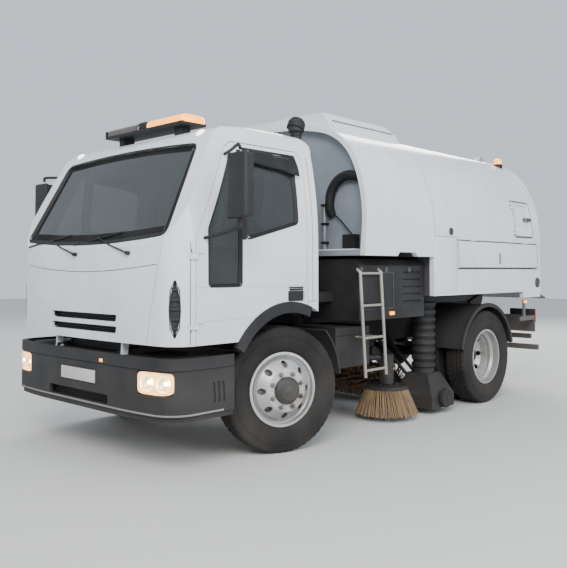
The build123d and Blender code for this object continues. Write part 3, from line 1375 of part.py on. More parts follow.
def access_ladder():
    """Ladder on the left: stiles curving in to the cowl at the top, with round rungs."""
    stiles = [(FRONT_X - 880, FRONT_X - 930), (FRONT_X - 1190, FRONT_X - 1240)]
    low, high, top = 500, 1440, 1475
    parts = []
    for x_high, x_low in stiles:
        start = (x_low, LADDER_Y, low)
        bend = (x_high, LADDER_Y - 20, high)
        route = FilletPolyline(start, bend, (x_high, COWL_HALF_W - 20, top), radius=24)
        parts.append(sweep(Plane(origin=start, z_dir=route % 0) * Circle(15), path=route))
    for i in range(4):
        share = (60 + 290 * i) / (high - low)
        z = low + share * (high - low)
        shift = -50 + 50 * share
        y = LADDER_Y - 20 * share
        parts.append(rod((stiles[0][0] + shift, y, z), (stiles[1][0] + shift, y, z), 12))
    for x in (FRONT_X - 980, FRONT_X - 1140):
        parts.append(rod((x, LADDER_Y - 4, low + 350), (x, COWL_HALF_W - 100, low + 350), 10))
    inside = (COWL_HALF_W - 140, COWL_HALF_W)
    return (Part() + parts) - block((FRONT_X - 1300, FRONT_X - 800), inside, (1200, 1700))


def air_intake():
    """Intake stack behind the cab with a round rain cap, fed into the cowl's front."""
    foot = (INTAKE_X, INTAKE_Y)
    pipe = rod((*foot, INTAKE_LOW), (*foot, INTAKE_TOP - 110), 48)
    head = rod((*foot, INTAKE_TOP - 120), (*foot, INTAKE_TOP), 70)
    duct = block((FRONT_X - 900, INTAKE_X), (INTAKE_Y - 45, INTAKE_Y + 45), (INTAKE_LOW, INTAKE_LOW + 90))
    return pipe + fillet(head.edges().filter_by(GeomType.CIRCLE), 20) + duct


def front_rear_mudguard():
    centre = Pos(FRONT_X, AXLE_Z)
    ring = centre * Circle(WING_INNER_R + WING_T) - centre * Circle(WING_INNER_R)
    span = outline(
        (FRONT_X, AXLE_Z), (FRONT_X - 620, AXLE_Z + 640), (FRONT_X - 1200, AXLE_Z + 640),
        (FRONT_X - 1200, AXLE_Z + 120),
    )
    guard = from_side(ring & span, WING_INNER_Y, WING_OUTER_Y)
    stay = block((FRONT_X - 600, FRONT_X - 545), (RAIL_Y, WING_INNER_Y + 30), (785, 803))
    return guard + stay


def rear_mudguard():
    centre = Pos(REAR_X, AXLE_Z)
    ring = centre * Circle(GUARD_R + WING_T) - centre * Circle(GUARD_R)
    lip = centre * Circle(GUARD_LIP_R) - centre * Circle(GUARD_R - 12)
    span = outline(
        (REAR_X, AXLE_Z), (REAR_X + 1200, AXLE_Z + 260), (REAR_X + 1200, 2000), (REAR_X - 1200, 2000),
        (REAR_X - 1200, AXLE_Z + 260),
    )
    guard_y = (TWIN_OUTER_Y - 460, TWIN_OUTER_Y + 135)
    guard = from_side(ring & span, *guard_y) + from_side(lip & span, guard_y[1] - 20, guard_y[1])
    stay = block((REAR_X - 25, REAR_X + 25), (RAIL_Y, 700), (AXLE_Z + 540, AXLE_Z + 563))
    return guard + stay


def under_run_bumper():
    """Two-bar bumper on arms from the rails, with the lamp carriers."""
    x = HOPPER_REAR
    arm_y = (360, 425)
    bars = block((x - 160, x - 115), (-1150, 1150), (460, 525))
    bars += block((x - 110, x - 70), (-1080, 1080), (600, 660))
    side = block((x + 44, x + 110), arm_y, (460, RAIL_LOW))
    side += block((x - 160, x + 60), arm_y, (462, 523)) + block((x - 110, x + 60), arm_y, (602, 658))
    end = TAIL_LAMP_END_Y
    carrier = block((x + 50, x + 66), (RAIL_Y, end + 5), (700, 905))
    carrier += block((x + 50, x + 440), (end - 19, end + 1), (850, 900))
    carrier += block((x + 300, x + 350), (end - 17, end - 1), (880, 1098))
    return bars + both_sides(side) + both_sides(carrier)


def lamp_bodies():
    """Headlamps following the bumper's corners, tail lamps on the carriers and side markers."""
    z = (LAMP_Z - LAMP_H / 2 + 1, LAMP_Z + LAMP_H / 2 - 1)
    lens = from_top(bumper_plan(6), *z) - from_top(bumper_plan(90), z[0] - 5, z[1] + 5)
    opening = Pos(LAMP_Y, LAMP_Z) * fillet(Rectangle(LAMP_W - 1, LAMP_H - 1).vertices(), 34)
    head = lens & from_end(opening, BUMPER_FACE - 260, BUMPER_FACE + 20)
    end = TAIL_LAMP_END_Y
    tail = block((HOPPER_REAR + 5, HOPPER_REAR + 50), (end - 325, end), (815, 975))
    front_marker = block((FRONT_X - 1430, FRONT_X - 1365), (COWL_HALF_W, COWL_HALF_W + 16), (1035, 1070))
    rear_marker = block((HOPPER_REAR + 300, HOPPER_REAR + 350), (end - 1, end + 17), (1060, 1095))
    return both_sides(Part() + [head, tail, front_marker, rear_marker])


def number_plates():
    y = (-PLATE_W / 2, PLATE_W / 2)
    z = (PLATE_Z - PLATE_H / 2, PLATE_Z + PLATE_H / 2)
    front = block((BUMPER_FACE - PLATE_T - 1, BUMPER_FACE - 1), y, z)
    rear = block((HOPPER_REAR + 50 - PLATE_T, HOPPER_REAR + 50), (640, 1160), (702, 802))
    return front + rear


# Sweeping gear


def left_brush_arm():
    """Arm from the pivot under the rail out to the brush motor."""
    start = (BRUSH_ARM_X, BRUSH_ARM_Y)
    knuckle_low = BRUSH_BRACKET_Z - 140
    boss = rod((*start, knuckle_low), (*start, BRUSH_BRACKET_Z - 2), 40)
    pin = rod((*start, knuckle_low), (*start, BRUSH_BRACKET_Z + 30), BRUSH_PIN_R)
    z = knuckle_low + 35
    beam = rod((*start, z), (BRUSH_X, BRUSH_Y, z), 30)
    post = rod((BRUSH_X, BRUSH_Y, BRUSH_TOP + 8), (BRUSH_X, BRUSH_Y, z + 35), 70)
    bore_r = BRUSH_PIN_R + PIN_CLEARANCE
    bore = rod((BRUSH_X, BRUSH_Y, BRUSH_TOP), (BRUSH_X, BRUSH_Y, BRUSH_TOP + 75), bore_r)
    return boss + pin + beam + (post - bore)


def side_brush():
    """Channel brush: plate, stub shaft and a flared skirt of bristles."""
    face = outline(
        (0, BRUSH_TOP - 25), (BRUSH_R - 160, BRUSH_TOP - 25), (BRUSH_R - 75, BRUSH_LOW),
        (BRUSH_R, BRUSH_LOW), (BRUSH_R - 95, BRUSH_TOP), (BRUSH_PIN_R, BRUSH_TOP),
        (BRUSH_PIN_R, BRUSH_TOP + 70), (0, BRUSH_TOP + 70),
    )
    return Pos(BRUSH_X, BRUSH_Y, 0) * revolve(Plane.XZ * face, Axis.Z)


def wide_brush():
    face = outline(
        (0, -WIDE_ARM_Y - 22), (WIDE_PIN_R, -WIDE_ARM_Y - 22), (WIDE_PIN_R, -WIDE_HALF_W),
        (WIDE_R, -WIDE_HALF_W + 5), (WIDE_R, WIDE_HALF_W - 5), (WIDE_PIN_R, WIDE_HALF_W),
        (WIDE_PIN_R, WIDE_ARM_Y + 22), (0, WIDE_ARM_Y + 22),
    )
    return Pos(WIDE_X, 0, WIDE_Z) * turned(face)


def wide_brush_frame():
    """Two side plates from the chassis pivots to the brush shaft, tied by a cross bar."""
    face = outline(
        (WIDE_PIVOT_X + 35, WIDE_PIVOT_Z + 20), (WIDE_PIVOT_X - 20, WIDE_PIVOT_Z + 35),
        (WIDE_X - 45, WIDE_Z + 30), (WIDE_X - 40, WIDE_Z - 40), (WIDE_X + 40, WIDE_Z - 40),
        (WIDE_PIVOT_X + 40, WIDE_PIVOT_Z - 30),
    )
    plate = from_side(face, WIDE_ARM_Y, WIDE_ARM_Y + 25)
    plate -= rod((WIDE_X, 0, WIDE_Z), (WIDE_X, 700, WIDE_Z), WIDE_PIN_R + PIN_CLEARANCE)
    pin_y = (WIDE_ARM_Y - 28, WIDE_ARM_Y + 5)
    pin = rod((WIDE_PIVOT_X, pin_y[0], WIDE_PIVOT_Z), (WIDE_PIVOT_X, pin_y[1], WIDE_PIVOT_Z), WIDE_PIN_R)
    bar_x = (WIDE_X + WIDE_PIVOT_X) / 2 + 25
    bar = rod((bar_x, -WIDE_ARM_Y, 455), (bar_x, WIDE_ARM_Y, 455), 20)
    return both_sides(plate + pin) + bar


def suction_side():
    """Nozzle hood with its ribbed hose up to the hopper and stays to the rail."""
    low, knee, top = 60, 190, 400
    hood = loft([
        Pos(NOZZLE_X, NOZZLE_Y, top) * Rectangle(240, 240),
        Pos(NOZZLE_X, NOZZLE_Y, knee) * Rectangle(420, 460),
    ])
    skirt = block((NOZZLE_X - 210, NOZZLE_X + 210), (NOZZLE_Y - 230, NOZZLE_Y + 230), (low, knee))
    hollow = block((NOZZLE_X - 190, NOZZLE_X + 190), (NOZZLE_Y - 210, NOZZLE_Y + 210), (low - 5, knee - 20))
    axle = rod((NOZZLE_X, NOZZLE_Y + 225, NOZZLE_WHEEL_Z), (NOZZLE_X, NOZZLE_Y + 290, NOZZLE_WHEEL_Z), 12)
    stays = [
        rod((NOZZLE_X + dx, RAIL_Y - 20, 730), (NOZZLE_X + dx, NOZZLE_Y - 120, 330), 18) for dx in (-80, 80)
    ]
    side = (hood + skirt - hollow) + axle + stays + suction_hose(top)
    return side - block((NOZZLE_X - 200, NOZZLE_X + 200), (0, RAIL_Y), (600, 900))


def suction_hose(low):
    """Ribbed hose: a ring for each convolution between two plain cuffs."""
    high = HOPPER_LOW - DOOR_GAP
    cuff = 45
    ribs = 9
    pitch = (high - low - 2 * cuff) / ribs
    points = [(0, low - 5), (HOSE_R, low - 5), (HOSE_R, low + cuff)]
    for i in range(ribs):
        z = low + cuff + i * pitch
        points += [(HOSE_R + 16, z + 0.25 * pitch), (HOSE_R + 16, z + 0.6 * pitch)]
        points += [(HOSE_R - 4, z + 0.85 * pitch)]
    points += [(HOSE_R, high - cuff), (HOSE_R, high), (0, high)]
    return Pos(NOZZLE_X, NOZZLE_Y, 0) * revolve(Plane.XZ * outline(*points), Axis.Z)


def nozzle_wheel():
    bore_r = 12 + PIN_CLEARANCE
    face = outline(
        (bore_r, -22), (NOZZLE_WHEEL_R - 8, -22), (NOZZLE_WHEEL_R, -16), (NOZZLE_WHEEL_R, 16),
        (NOZZLE_WHEEL_R - 8, 22), (bore_r, 22),
    )
    return Pos(NOZZLE_X, NOZZLE_Y + 262, NOZZLE_WHEEL_Z) * turned(face)


def save_pair(name, left):
    save(f"{name}_left", left)
    save(f"{name}_right", right_of(left))


def save_cab():
    skin = cab_form(0) - cab_form(CAB_WALL)
    layer = glass_layer()
    save("cab_shell", cab_shell(skin))
    save("cab_glass", cab_glass(layer))
    save_pair("door", left_door(skin))
    save_pair("door_glass", door_glass(layer))
    save("cab_interior", cab_interior())
    save("roof_light_bar", roof_light_bar())
    save_pair("mirror", left_mirror())
    save("front_wings", both_sides(left_wing()))


def save_chassis():
    save("front_bumper", front_bumper())
    save("front_axle_beam", front_axle_beam())
    save("rear_axle_housing", rear_axle_housing())
    save("leaf_springs", leaf_springs())
    save("chassis_frame", chassis_frame())
    save("engine_and_driveline", engine_and_driveline())
    save("frame_side_boxes", frame_side_boxes())
    save("road_lamps", lamp_bodies())
    save("number_plates", number_plates())
    save("mudguards", both_sides(front_rear_mudguard() + rear_mudguard()))
    save("under_run_bumper", under_run_bumper())
    save("aux_engine_cowl", aux_engine_cowl())
    save("access_ladder", access_ladder())
    save("air_intake", air_intake())
    save("suction_gear", both_sides(suction_side()))


def save_wheels():
    fork = knuckle()
    save("knuckle_left", Pos(FRONT_X, KINGPIN_Y, AXLE_Z) * Rot(0, 0, STEER_REST) * fork)
    save("knuckle_right", Pos(FRONT_X, -KINGPIN_Y, AXLE_Z) * Rot(0, 0, STEER_REST) * right_of(fork))
    save("track_rod", track_rod())
    ring = tyre()
    wheel = front_rim()
    save("tyre_front_left", steered(ring))
    save("tyre_front_right", steered_right(ring))
    save("rim_front_left", steered(wheel))
    save("rim_front_right", steered_right(wheel))
    save_pair("tyres_rear", twin_tyres())
    save_pair("rims_rear", twin_rims())


def save_hopper():
    save("hopper_shell", hopper_shell())
    save("hopper_floor", hopper_floor())
    save_pair("locker_liner", left_locker_liner())
    save("roof_cowl", roof_cowl())
    save("hopper_beacons", hopper_beacons())
    save_pair("locker_lid", left_locker_lid())
    save_pair("hatch", left_hatch())
    save("tail_door", tail_door())
    save("hose_boom", hose_boom())
    save("road_sign", road_sign())
    save("tip_ram_barrel", tip_ram_barrel())
    save("tip_ram_rod", tip_ram_rod())


def save_sweeping_gear():
    save_pair("brush_arm", left_brush_arm())
    save_pair("side_brush", side_brush())
    save("wide_brush", wide_brush())
    save("wide_brush_frame", wide_brush_frame())
    save_pair("nozzle_wheel", nozzle_wheel())


save_cab()
save_chassis()
save_wheels()
save_hopper()
save_sweeping_gear()
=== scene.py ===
import math
import random

import bmesh
import bpy
from mathutils import Matrix, Vector
from mathutils.bvhtree import BVHTree


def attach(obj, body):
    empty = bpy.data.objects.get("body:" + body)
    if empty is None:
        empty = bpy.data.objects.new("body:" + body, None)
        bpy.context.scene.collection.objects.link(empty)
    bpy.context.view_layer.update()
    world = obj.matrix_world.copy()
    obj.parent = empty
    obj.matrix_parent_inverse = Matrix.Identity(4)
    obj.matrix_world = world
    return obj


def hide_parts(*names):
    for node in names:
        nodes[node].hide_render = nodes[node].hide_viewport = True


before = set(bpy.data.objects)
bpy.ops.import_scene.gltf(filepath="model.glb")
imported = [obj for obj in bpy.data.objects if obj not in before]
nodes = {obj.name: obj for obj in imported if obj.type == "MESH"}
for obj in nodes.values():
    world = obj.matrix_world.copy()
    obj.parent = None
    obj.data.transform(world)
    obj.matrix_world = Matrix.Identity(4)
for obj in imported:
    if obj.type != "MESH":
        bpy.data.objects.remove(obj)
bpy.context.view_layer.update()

# Studio: a pale seamless floor, three large soft lights and a camera that stands low off
# the left front corner, as the photographer of the nearer view did.
FLOOR_REACH = 30
floor_corners = [(FLOOR_REACH * x, FLOOR_REACH * y, 0) for x, y in ((-1, -1), (1, -1), (1, 1), (-1, 1))]
floor_mesh = bpy.data.meshes.new("studio_floor")
floor_mesh.from_pydata(floor_corners, [], [(0, 1, 2, 3)])
floor = bpy.data.objects.new("studio_floor", floor_mesh)
bpy.context.scene.collection.objects.link(floor)
floor_finish = bpy.data.materials.new("studio_floor")
floor_finish.use_nodes = True
floor_inputs = floor_finish.node_tree.nodes["Principled BSDF"].inputs
floor_inputs["Base Color"].default_value = (0.62, 0.62, 0.6, 1)
floor_inputs["Roughness"].default_value = 0.9
floor_mesh.materials.append(floor_finish)

sky = bpy.data.worlds.new("studio_sky")
sky.use_nodes = True
sky_inputs = sky.node_tree.nodes["Background"].inputs
sky_inputs["Color"].default_value = (0.8, 0.87, 0.97, 1)
sky_inputs["Strength"].default_value = 0.95
bpy.context.scene.world = sky
LIGHT_AIM = Vector((0, 0, 1.2))
LIGHTS = (
    # name, place, power, size, colour
    ("key", (9.5, 7.5, 8.5), 1500, 6.0, (1.0, 0.97, 0.93)),
    ("fill", (1.0, 11.0, 5.0), 600, 6.0, (0.93, 0.96, 1.0)),
    ("back", (-10.0, -6.0, 8.0), 1200, 6.0, (1.0, 0.98, 0.95)),
)
for name, place, power, size, colour in LIGHTS:
    lamp = bpy.data.lights.new("studio_" + name, "AREA")
    lamp.energy = power
    lamp.size = size
    lamp.color = colour
    holder = bpy.data.objects.new("studio_" + name, lamp)
    holder.location = place
    holder.rotation_euler = (LIGHT_AIM - Vector(place)).to_track_quat("-Z", "Y").to_euler()
    bpy.context.scene.collection.objects.link(holder)

# front axle, from which the places of the cab are counted
AXLE_X = 1.7175
REAR_AXLE_X = -1.3875
CAMERA_YAW = math.radians(223.667)
CAMERA_PITCH = math.radians(1.78)
view_data = bpy.data.cameras.new("view")
view_data.lens = 46.0
view_data.shift_y = -0.065
view = bpy.data.objects.new("view", view_data)
view.location = (AXLE_X + 4.279, 5.149, 1.463)
sight = Vector((
    math.cos(CAMERA_PITCH) * math.cos(CAMERA_YAW),
    math.cos(CAMERA_PITCH) * math.sin(CAMERA_YAW),
    math.sin(CAMERA_PITCH),
))
view.rotation_euler = sight.to_track_quat("-Z", "Y").to_euler()
bpy.context.scene.collection.objects.link(view)
bpy.context.scene.camera = view


# Chassis: ladder frame, axles, springs and driveline in black chassis paint, dulled by
# road dirt that thickens towards the ground.
def finish_step(tree, kind, result, inputs, **settings):
    """Adds a step to a finish; its inputs are numbers, colours or the results of other steps."""
    made = tree.nodes.new("ShaderNode" + kind)
    for setting, value in settings.items():
        setattr(made, setting, value)
    for socket, value in inputs.items():
        if isinstance(value, bpy.types.NodeSocket):
            tree.links.new(value, made.inputs[socket])
        else:
            made.inputs[socket].default_value = value
    return made.outputs[result]


def ranged(tree, value, span, onto=(0, 1)):
    """Maps a value from one range to another."""
    ends = {"From Min": span[0], "From Max": span[1], "To Min": onto[0], "To Max": onto[1]}
    return finish_step(tree, "MapRange", "Result", {"Value": value, **ends})


def blended(tree, share, first, other):
    """Blends two colours by a share."""
    return finish_step(tree, "Mix", "Result", {"Factor": share, "A": first, "B": other}, data_type="RGBA")


def surface(
    name, colour, second, rough=0.5, metal=0.0, grain=40.0, bump=0.1, coat=0.0,
    dirt=0.0, dirt_top=1.2, dirt_colour=(0.15, 0.125, 0.1), mottle=3.0, shine=0.5,
):
    """Finish with slow colour variation, a fine surface grain and road dirt low down."""
    made = bpy.data.materials.new(name)
    made.use_nodes = True
    tree = made.node_tree
    inputs = tree.nodes["Principled BSDF"].inputs
    place = finish_step(tree, "TexCoord", "Object", {})
    cloud = finish_step(tree, "TexNoise", "Fac", {"Vector": place, "Scale": mottle, "Detail": 6})
    fine = finish_step(tree, "TexNoise", "Fac", {"Vector": place, "Scale": grain, "Detail": 4})
    tone = blended(tree, ranged(tree, cloud, (0.35, 0.7)), (*colour, 1), (*second, 1))
    if dirt:
        height = finish_step(tree, "SeparateXYZ", "Z", {"Vector": place})
        low = ranged(tree, height, (0, dirt_top), (dirt, 0))
        patchy = finish_step(tree, "Math", "Value", {0: low, 1: cloud}, operation="MULTIPLY")
        tone = blended(tree, patchy, tone, (*dirt_colour, 1))
    wear = ranged(tree, fine, (0.3, 0.75), (max(0.04, rough - 0.08), min(1.0, rough + 0.12)))
    rise = finish_step(tree, "Bump", "Normal", {"Height": fine, "Strength": bump, "Distance": 0.002})
    for socket, result in (("Base Color", tone), ("Roughness", wear), ("Normal", rise)):
        tree.links.new(result, inputs[socket])
    inputs["Metallic"].default_value = metal
    inputs["Coat Weight"].default_value = coat
    inputs["Specular IOR Level"].default_value = shine
    return made


def dress(node, finish):
    """Gives a carried-over node its finish."""
    nodes[node].data.materials.clear()
    nodes[node].data.materials.append(finish)


chassis_paint = surface(
    "chassis_paint", (0.014, 0.014, 0.015), (0.03, 0.029, 0.028),
    bump=0.25, grain=90, dirt=0.3, dirt_top=1.0, shine=0.3,
)
cast_iron = surface(
    "cast_iron", (0.035, 0.034, 0.033), (0.07, 0.064, 0.058),
    rough=0.6, metal=0.3, bump=0.5, grain=120, dirt=0.5,
)
spring_steel = surface(
    "spring_steel", (0.05, 0.048, 0.045), (0.14, 0.1, 0.07), rough=0.6, metal=0.4, bump=0.35, dirt=0.9,
)
for node in ("chassis_frame", "frame_side_boxes"):
    dress(node, chassis_paint)
for node in ("front_axle_beam", "rear_axle_housing", "knuckle_left", "knuckle_right", "track_rod"):
    dress(node, cast_iron)
dress("leaf_springs", spring_steel)
dress("engine_and_driveline", cast_iron)


# Wheels: radial truck tyres on pressed-steel rims. The tread is a rib pattern with notched
# shoulders; the front discs bulge out and the rear ones are dished, each on eight nuts.
def turned(bm, profile, steps, place=Matrix(), closed=False):
    """Turns points of (radius, y) about the Y axis; the points may change from step to step."""
    rows = []
    hubs = {}
    for i in range(steps):
        angle = 2 * math.pi * i / steps
        row = []
        for j, (radius, y) in enumerate(profile(i) if callable(profile) else profile):
            if radius < 1e-6:
                if j not in hubs:
                    hubs[j] = bm.verts.new(place @ Vector((0, y, 0)))
                row.append(hubs[j])
            else:
                spot = Vector((radius * math.sin(angle), y, radius * math.cos(angle)))
                row.append(bm.verts.new(place @ spot))
        rows.append(row)
    count = len(rows[0])
    for here, there in zip(rows, rows[1:] + rows[:1]):
        for j in range(count if closed else count - 1):
            k = (j + 1) % count
            corners = [here[j], here[k], there[k], there[j]]
            corners = [c for n, c in enumerate(corners) if c not in corners[:n]]
            if len(corners) > 2:
                bm.faces.new(corners)


def piece(bm, name, finish, body, stands_for=(), crease=35):
    """Makes the mesh an object with its finish, on its body."""
    bmesh.ops.recalc_face_normals(bm, faces=bm.faces)
    mesh = bpy.data.meshes.new(name)
    bm.to_mesh(mesh)
    bm.free()
    mesh.materials.append(finish)
    mesh.shade_smooth()
    mesh.set_sharp_from_angle(angle=math.radians(crease))
    made = bpy.data.objects.new(name, mesh)
    bpy.context.scene.collection.objects.link(made)
    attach(made, body)
    if stands_for:
        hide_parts(*stands_for)
    return made


tyre_rubber = surface(
    "tyre_rubber", (0.011, 0.011, 0.012), (0.024, 0.023, 0.022),
    rough=0.7, bump=0.35, grain=160, dirt=0.22, shine=0.2,
)
wheel_enamel = surface(
    "wheel_enamel", (0.6, 0.61, 0.62), (0.42, 0.41, 0.39),
    rough=0.34, metal=0.45, bump=0.08, grain=60, dirt=0.6, dirt_top=1.1,
)
nut_steel = surface(
    "nut_steel", (0.3, 0.29, 0.28), (0.16, 0.12, 0.09), rough=0.45, metal=0.7, bump=0.3, grain=300,
)
SIDES = (("left", 1), ("right", -1))
TYRE_R = 0.505
TREAD_STEPS = 216
GROOVES = (-0.062, -0.022, 0.022, 0.062)
GROOVE_R = 0.491
NOTCH_DEPTH = 0.006


def tyre_section(step):
    """Section of the tyre from one bead over the tread to the other and back inside."""
    notch = NOTCH_DEPTH if step % 4 == 0 else 0
    side = [(0.288, 0.094), (0.303, 0.1), (0.318, 0.108), (0.322, 0.112), (0.35, 0.119), (0.39, 0.124)]
    side += [(0.42, 0.1235), (0.423, 0.1265), (0.432, 0.1262), (0.435, 0.1225), (0.462, 0.1175)]
    side += [(r - notch, y) for r, y in ((0.478, 0.1155), (0.492, 0.111), (0.499, 0.1035), (0.504, 0.095))]
    tread = []
    for groove in reversed(GROOVES):
        land = TYRE_R - notch * (abs(groove) > 0.05)
        tread += [(land, groove + 0.007), (GROOVE_R, groove + 0.0045)]
        tread += [(GROOVE_R, groove - 0.0045), (land, groove - 0.007)]
    back = [(r, -y) for r, y in reversed(side)]
    return side + tread + back + [(0.286, -0.06), (0.286, 0.06)]


NUT_CIRCLE_R = 0.1375
NUT_PARTS = (
    # section and sides of the washer, the hexagon nut and the stud's end
    (((0, 0), (0.023, 0), (0.023, 0.004), (0.021, 0.005), (0, 0.005)), 20),
    (((0, 0.005), (0.0165, 0.005), (0.0165, 0.022), (0.014, 0.026), (0, 0.026)), 6),
    (((0, 0.026), (0.009, 0.026), (0.009, 0.04), (0.007, 0.042), (0, 0.042)), 12),
)
STEER = Matrix.Rotation(math.radians(-17), 4, "Z")
KINGPIN_Y = 0.93
FRONT_WHEEL_OUTSET = 0.09
REAR_WHEEL_YS = (1.1, 0.78)
FRONT_HUB = (
    (0, 0.2085), (0.03, 0.2085), (0.034, 0.2065), (0.066, 0.2065),
    (0.0715, 0.2055), (0.108, 0.1765), (0.109, 0.162),
)
REAR_HUB = (
    (0, 1.055), (0.05, 1.055), (0.058, 1.05), (0.06, 1.0405),
    (0.0715, 1.0395), (0.108, 1.0105), (0.109, 0.955),
)
for side, out in SIDES:
    pin = Matrix.Translation((AXLE_X, out * KINGPIN_Y, TYRE_R))
    front = pin @ STEER @ Matrix.Translation((0, out * FRONT_WHEEL_OUTSET, 0))
    rear = Matrix.Translation((REAR_AXLE_X, 0, TYRE_R))
    WHEEL_SETS = (
        # axle, body, tread, node of the tyre, place, tyres, disc face under the nuts, hub
        ("front_", "wheel_front_", "tread_front_", "tyre_front_", front, (0,), 0.16, FRONT_HUB),
        ("rear_", "wheels_rear_", "treads_rear_", "tyres_rear_", rear, REAR_WHEEL_YS, 0.952, REAR_HUB),
    )
    for axle, body, tread, tyre, place, tyre_ys, face_y, hub in WHEEL_SETS:
        bm = bmesh.new()
        for y in tyre_ys:
            turned(bm, tyre_section, TREAD_STEPS, place @ Matrix.Translation((0, out * y, 0)), closed=True)
        piece(bm, tread + side, tyre_rubber, body + side, (tyre + side,))
        bm = bmesh.new()
        for i in range(8):
            turn = math.radians(22.5 + 45 * i)
            stud = Vector((NUT_CIRCLE_R * math.sin(turn), out * face_y, NUT_CIRCLE_R * math.cos(turn)))
            for section, count in NUT_PARTS:
                turned(bm, [(r, out * y) for r, y in section], count, place @ Matrix.Translation(stud))
        piece(bm, "nuts_" + axle + side, nut_steel, body + side)
        bm = bmesh.new()
        turned(bm, [(r, out * y) for r, y in hub], 48, place)
        piece(bm, "hub_" + axle + side, cast_iron, body + side)
for node in ("rim_front_left", "rim_front_right", "rims_rear_left", "rims_rear_right"):
    dress(node, wheel_enamel)


# Cab: pressed-steel shell and doors in white enamel, with pressed seams, a black rubber
# glazing strip round each window, and moulded inlets and slots in dark plastic.
# trim is laid on the skin by rays that start ahead of the cab or beside the truck
AHEAD_X = 3.3
BESIDE_Y = 1.6
TO_REAR = (-1, 0, 0)
white_enamel = surface(
    "white_enamel", (0.78, 0.81, 0.83), (0.7, 0.73, 0.75), rough=0.3, coat=0.35, bump=0.03, grain=25,
    dirt=0.6, dirt_top=1.6, dirt_colour=(0.34, 0.31, 0.27), mottle=2.2,
)
dark_plastic = surface(
    "dark_plastic", (0.016, 0.0165, 0.018), (0.03, 0.03, 0.031),
    rough=0.55, bump=0.3, grain=220, dirt=0.25, shine=0.3,
)
seam_black = surface(
    "seam_black", (0.008, 0.008, 0.009), (0.018, 0.018, 0.018), rough=0.8, bump=0.2, grain=200, shine=0.2,
)
glazing_rubber = surface(
    "glazing_rubber", (0.01, 0.01, 0.011), (0.02, 0.02, 0.021), rough=0.55, bump=0.25, grain=260, shine=0.3,
)
for node in ("cab_shell", "door_left", "door_right"):
    dress(node, white_enamel)


def skin_of(*names):
    """Surface of carried-over nodes, to lay trim on."""
    corners, faces = [], []
    for name in names:
        mesh = nodes[name].data
        start = len(corners)
        corners += [v.co.copy() for v in mesh.vertices]
        faces += [[start + i for i in face.vertices] for face in mesh.polygons]
    return BVHTree.FromPolygons(corners, faces)


def on_skin(skin, start, aim):
    """Point of the surface met from a start in a direction, and its outward normal."""
    aim = Vector(aim).normalized()
    spot, normal, _, _ = skin.ray_cast(Vector(start), aim)
    if spot is None:
        return None
    return spot, (normal if normal.dot(aim) < 0 else -normal)


def faces_between(bm, rows, ring=False, loop=False, caps=False):
    """Faces between rows of points; a ring closes each row, a loop joins the last row to the first."""
    count = len(rows[0])
    for here, there in zip(rows, rows[1:] + (rows[:1] if loop else [])):
        for j in range(count if ring else count - 1):
            k = (j + 1) % count
            bm.faces.new((here[j], here[k], there[k], there[j]))
    if caps:
        bm.faces.new(rows[0])
        bm.faces.new(rows[-1])


def strip(bm, skin, points, aim, width, lift=0.0008, sink=0.003, loop=False):
    """Narrow band that follows the surface through points seen from a direction."""
    found = [on_skin(skin, point, aim) for point in points]
    found = [f for f in found if f]
    if len(found) < 2:
        return
    rows = []
    count = len(found)
    for i, (spot, normal) in enumerate(found):
        before = found[(i - 1) % count][0] if loop or i else spot
        after = found[(i + 1) % count][0] if loop or i < count - 1 else spot
        across = (after - before).normalized().cross(normal).normalized() * width / 2
        section = ((1, -sink), (0.8, lift), (-0.8, lift), (-1, -sink))
        rows.append([bm.verts.new(spot + across * share + normal * rise) for share, rise in section])
    faces_between(bm, rows, ring=True, loop=loop, caps=not loop)


def along(points, step=0.04):
    """Divides straight runs between points into short steps."""
    made = []
    for here, there in zip(points, points[1:]):
        here, there = Vector(here), Vector(there)
        parts = max(1, int((there - here).length / step))
        made += [here.lerp(there, i / parts) for i in range(parts)]
    return made + [Vector(points[-1])]


def side_strip(bm, skin, out, line, width, step=0.04, **fit):
    """Band on one side of the truck through points of (x, z); a line that closes makes a ring."""
    points = along([(x, out * BESIDE_Y, z) for x, z in line], step)
    closed = line[0] == line[-1]
    strip(bm, skin, points[:-1] if closed else points, (0, -out, 0), width, loop=closed, **fit)


def curved(points, parts=8):
    """Smooth curve through points."""
    points = [Vector(p) for p in points]
    ends = [points[0] * 2 - points[1]] + points + [points[-1] * 2 - points[-2]]
    made = []
    for i in range(1, len(ends) - 2):
        a, b, c, d = ends[i - 1:i + 3]
        for t in (j / parts for j in range(parts)):
            bend = t * t * (a - 2.5 * b + 2 * c - 0.5 * d) + t * t * t * (1.5 * (b - c) + 0.5 * (d - a))
            made.append(b + 0.5 * t * (c - a) + bend)
    return made + [points[-1]]


def pipe(bm, points, radius, sides=12):
    """Round bar or tube along points, with a closed end at each side; the radius may be a list."""
    points = [Vector(p) for p in points]
    rows = []
    side = None
    for i, point in enumerate(points):
        ahead = (points[min(i + 1, len(points) - 1)] - points[max(i - 1, 0)]).normalized()
        if side is None:
            side = ahead.orthogonal().normalized()
        side = (side - ahead * side.dot(ahead)).normalized()
        other = ahead.cross(side)
        size = radius[i] if isinstance(radius, (list, tuple)) else radius
        rows.append([
            bm.verts.new(point + size * (math.cos(a) * side + math.sin(a) * other))
            for a in (2 * math.pi * k / sides for k in range(sides))
        ])
    faces_between(bm, rows, ring=True, caps=True)


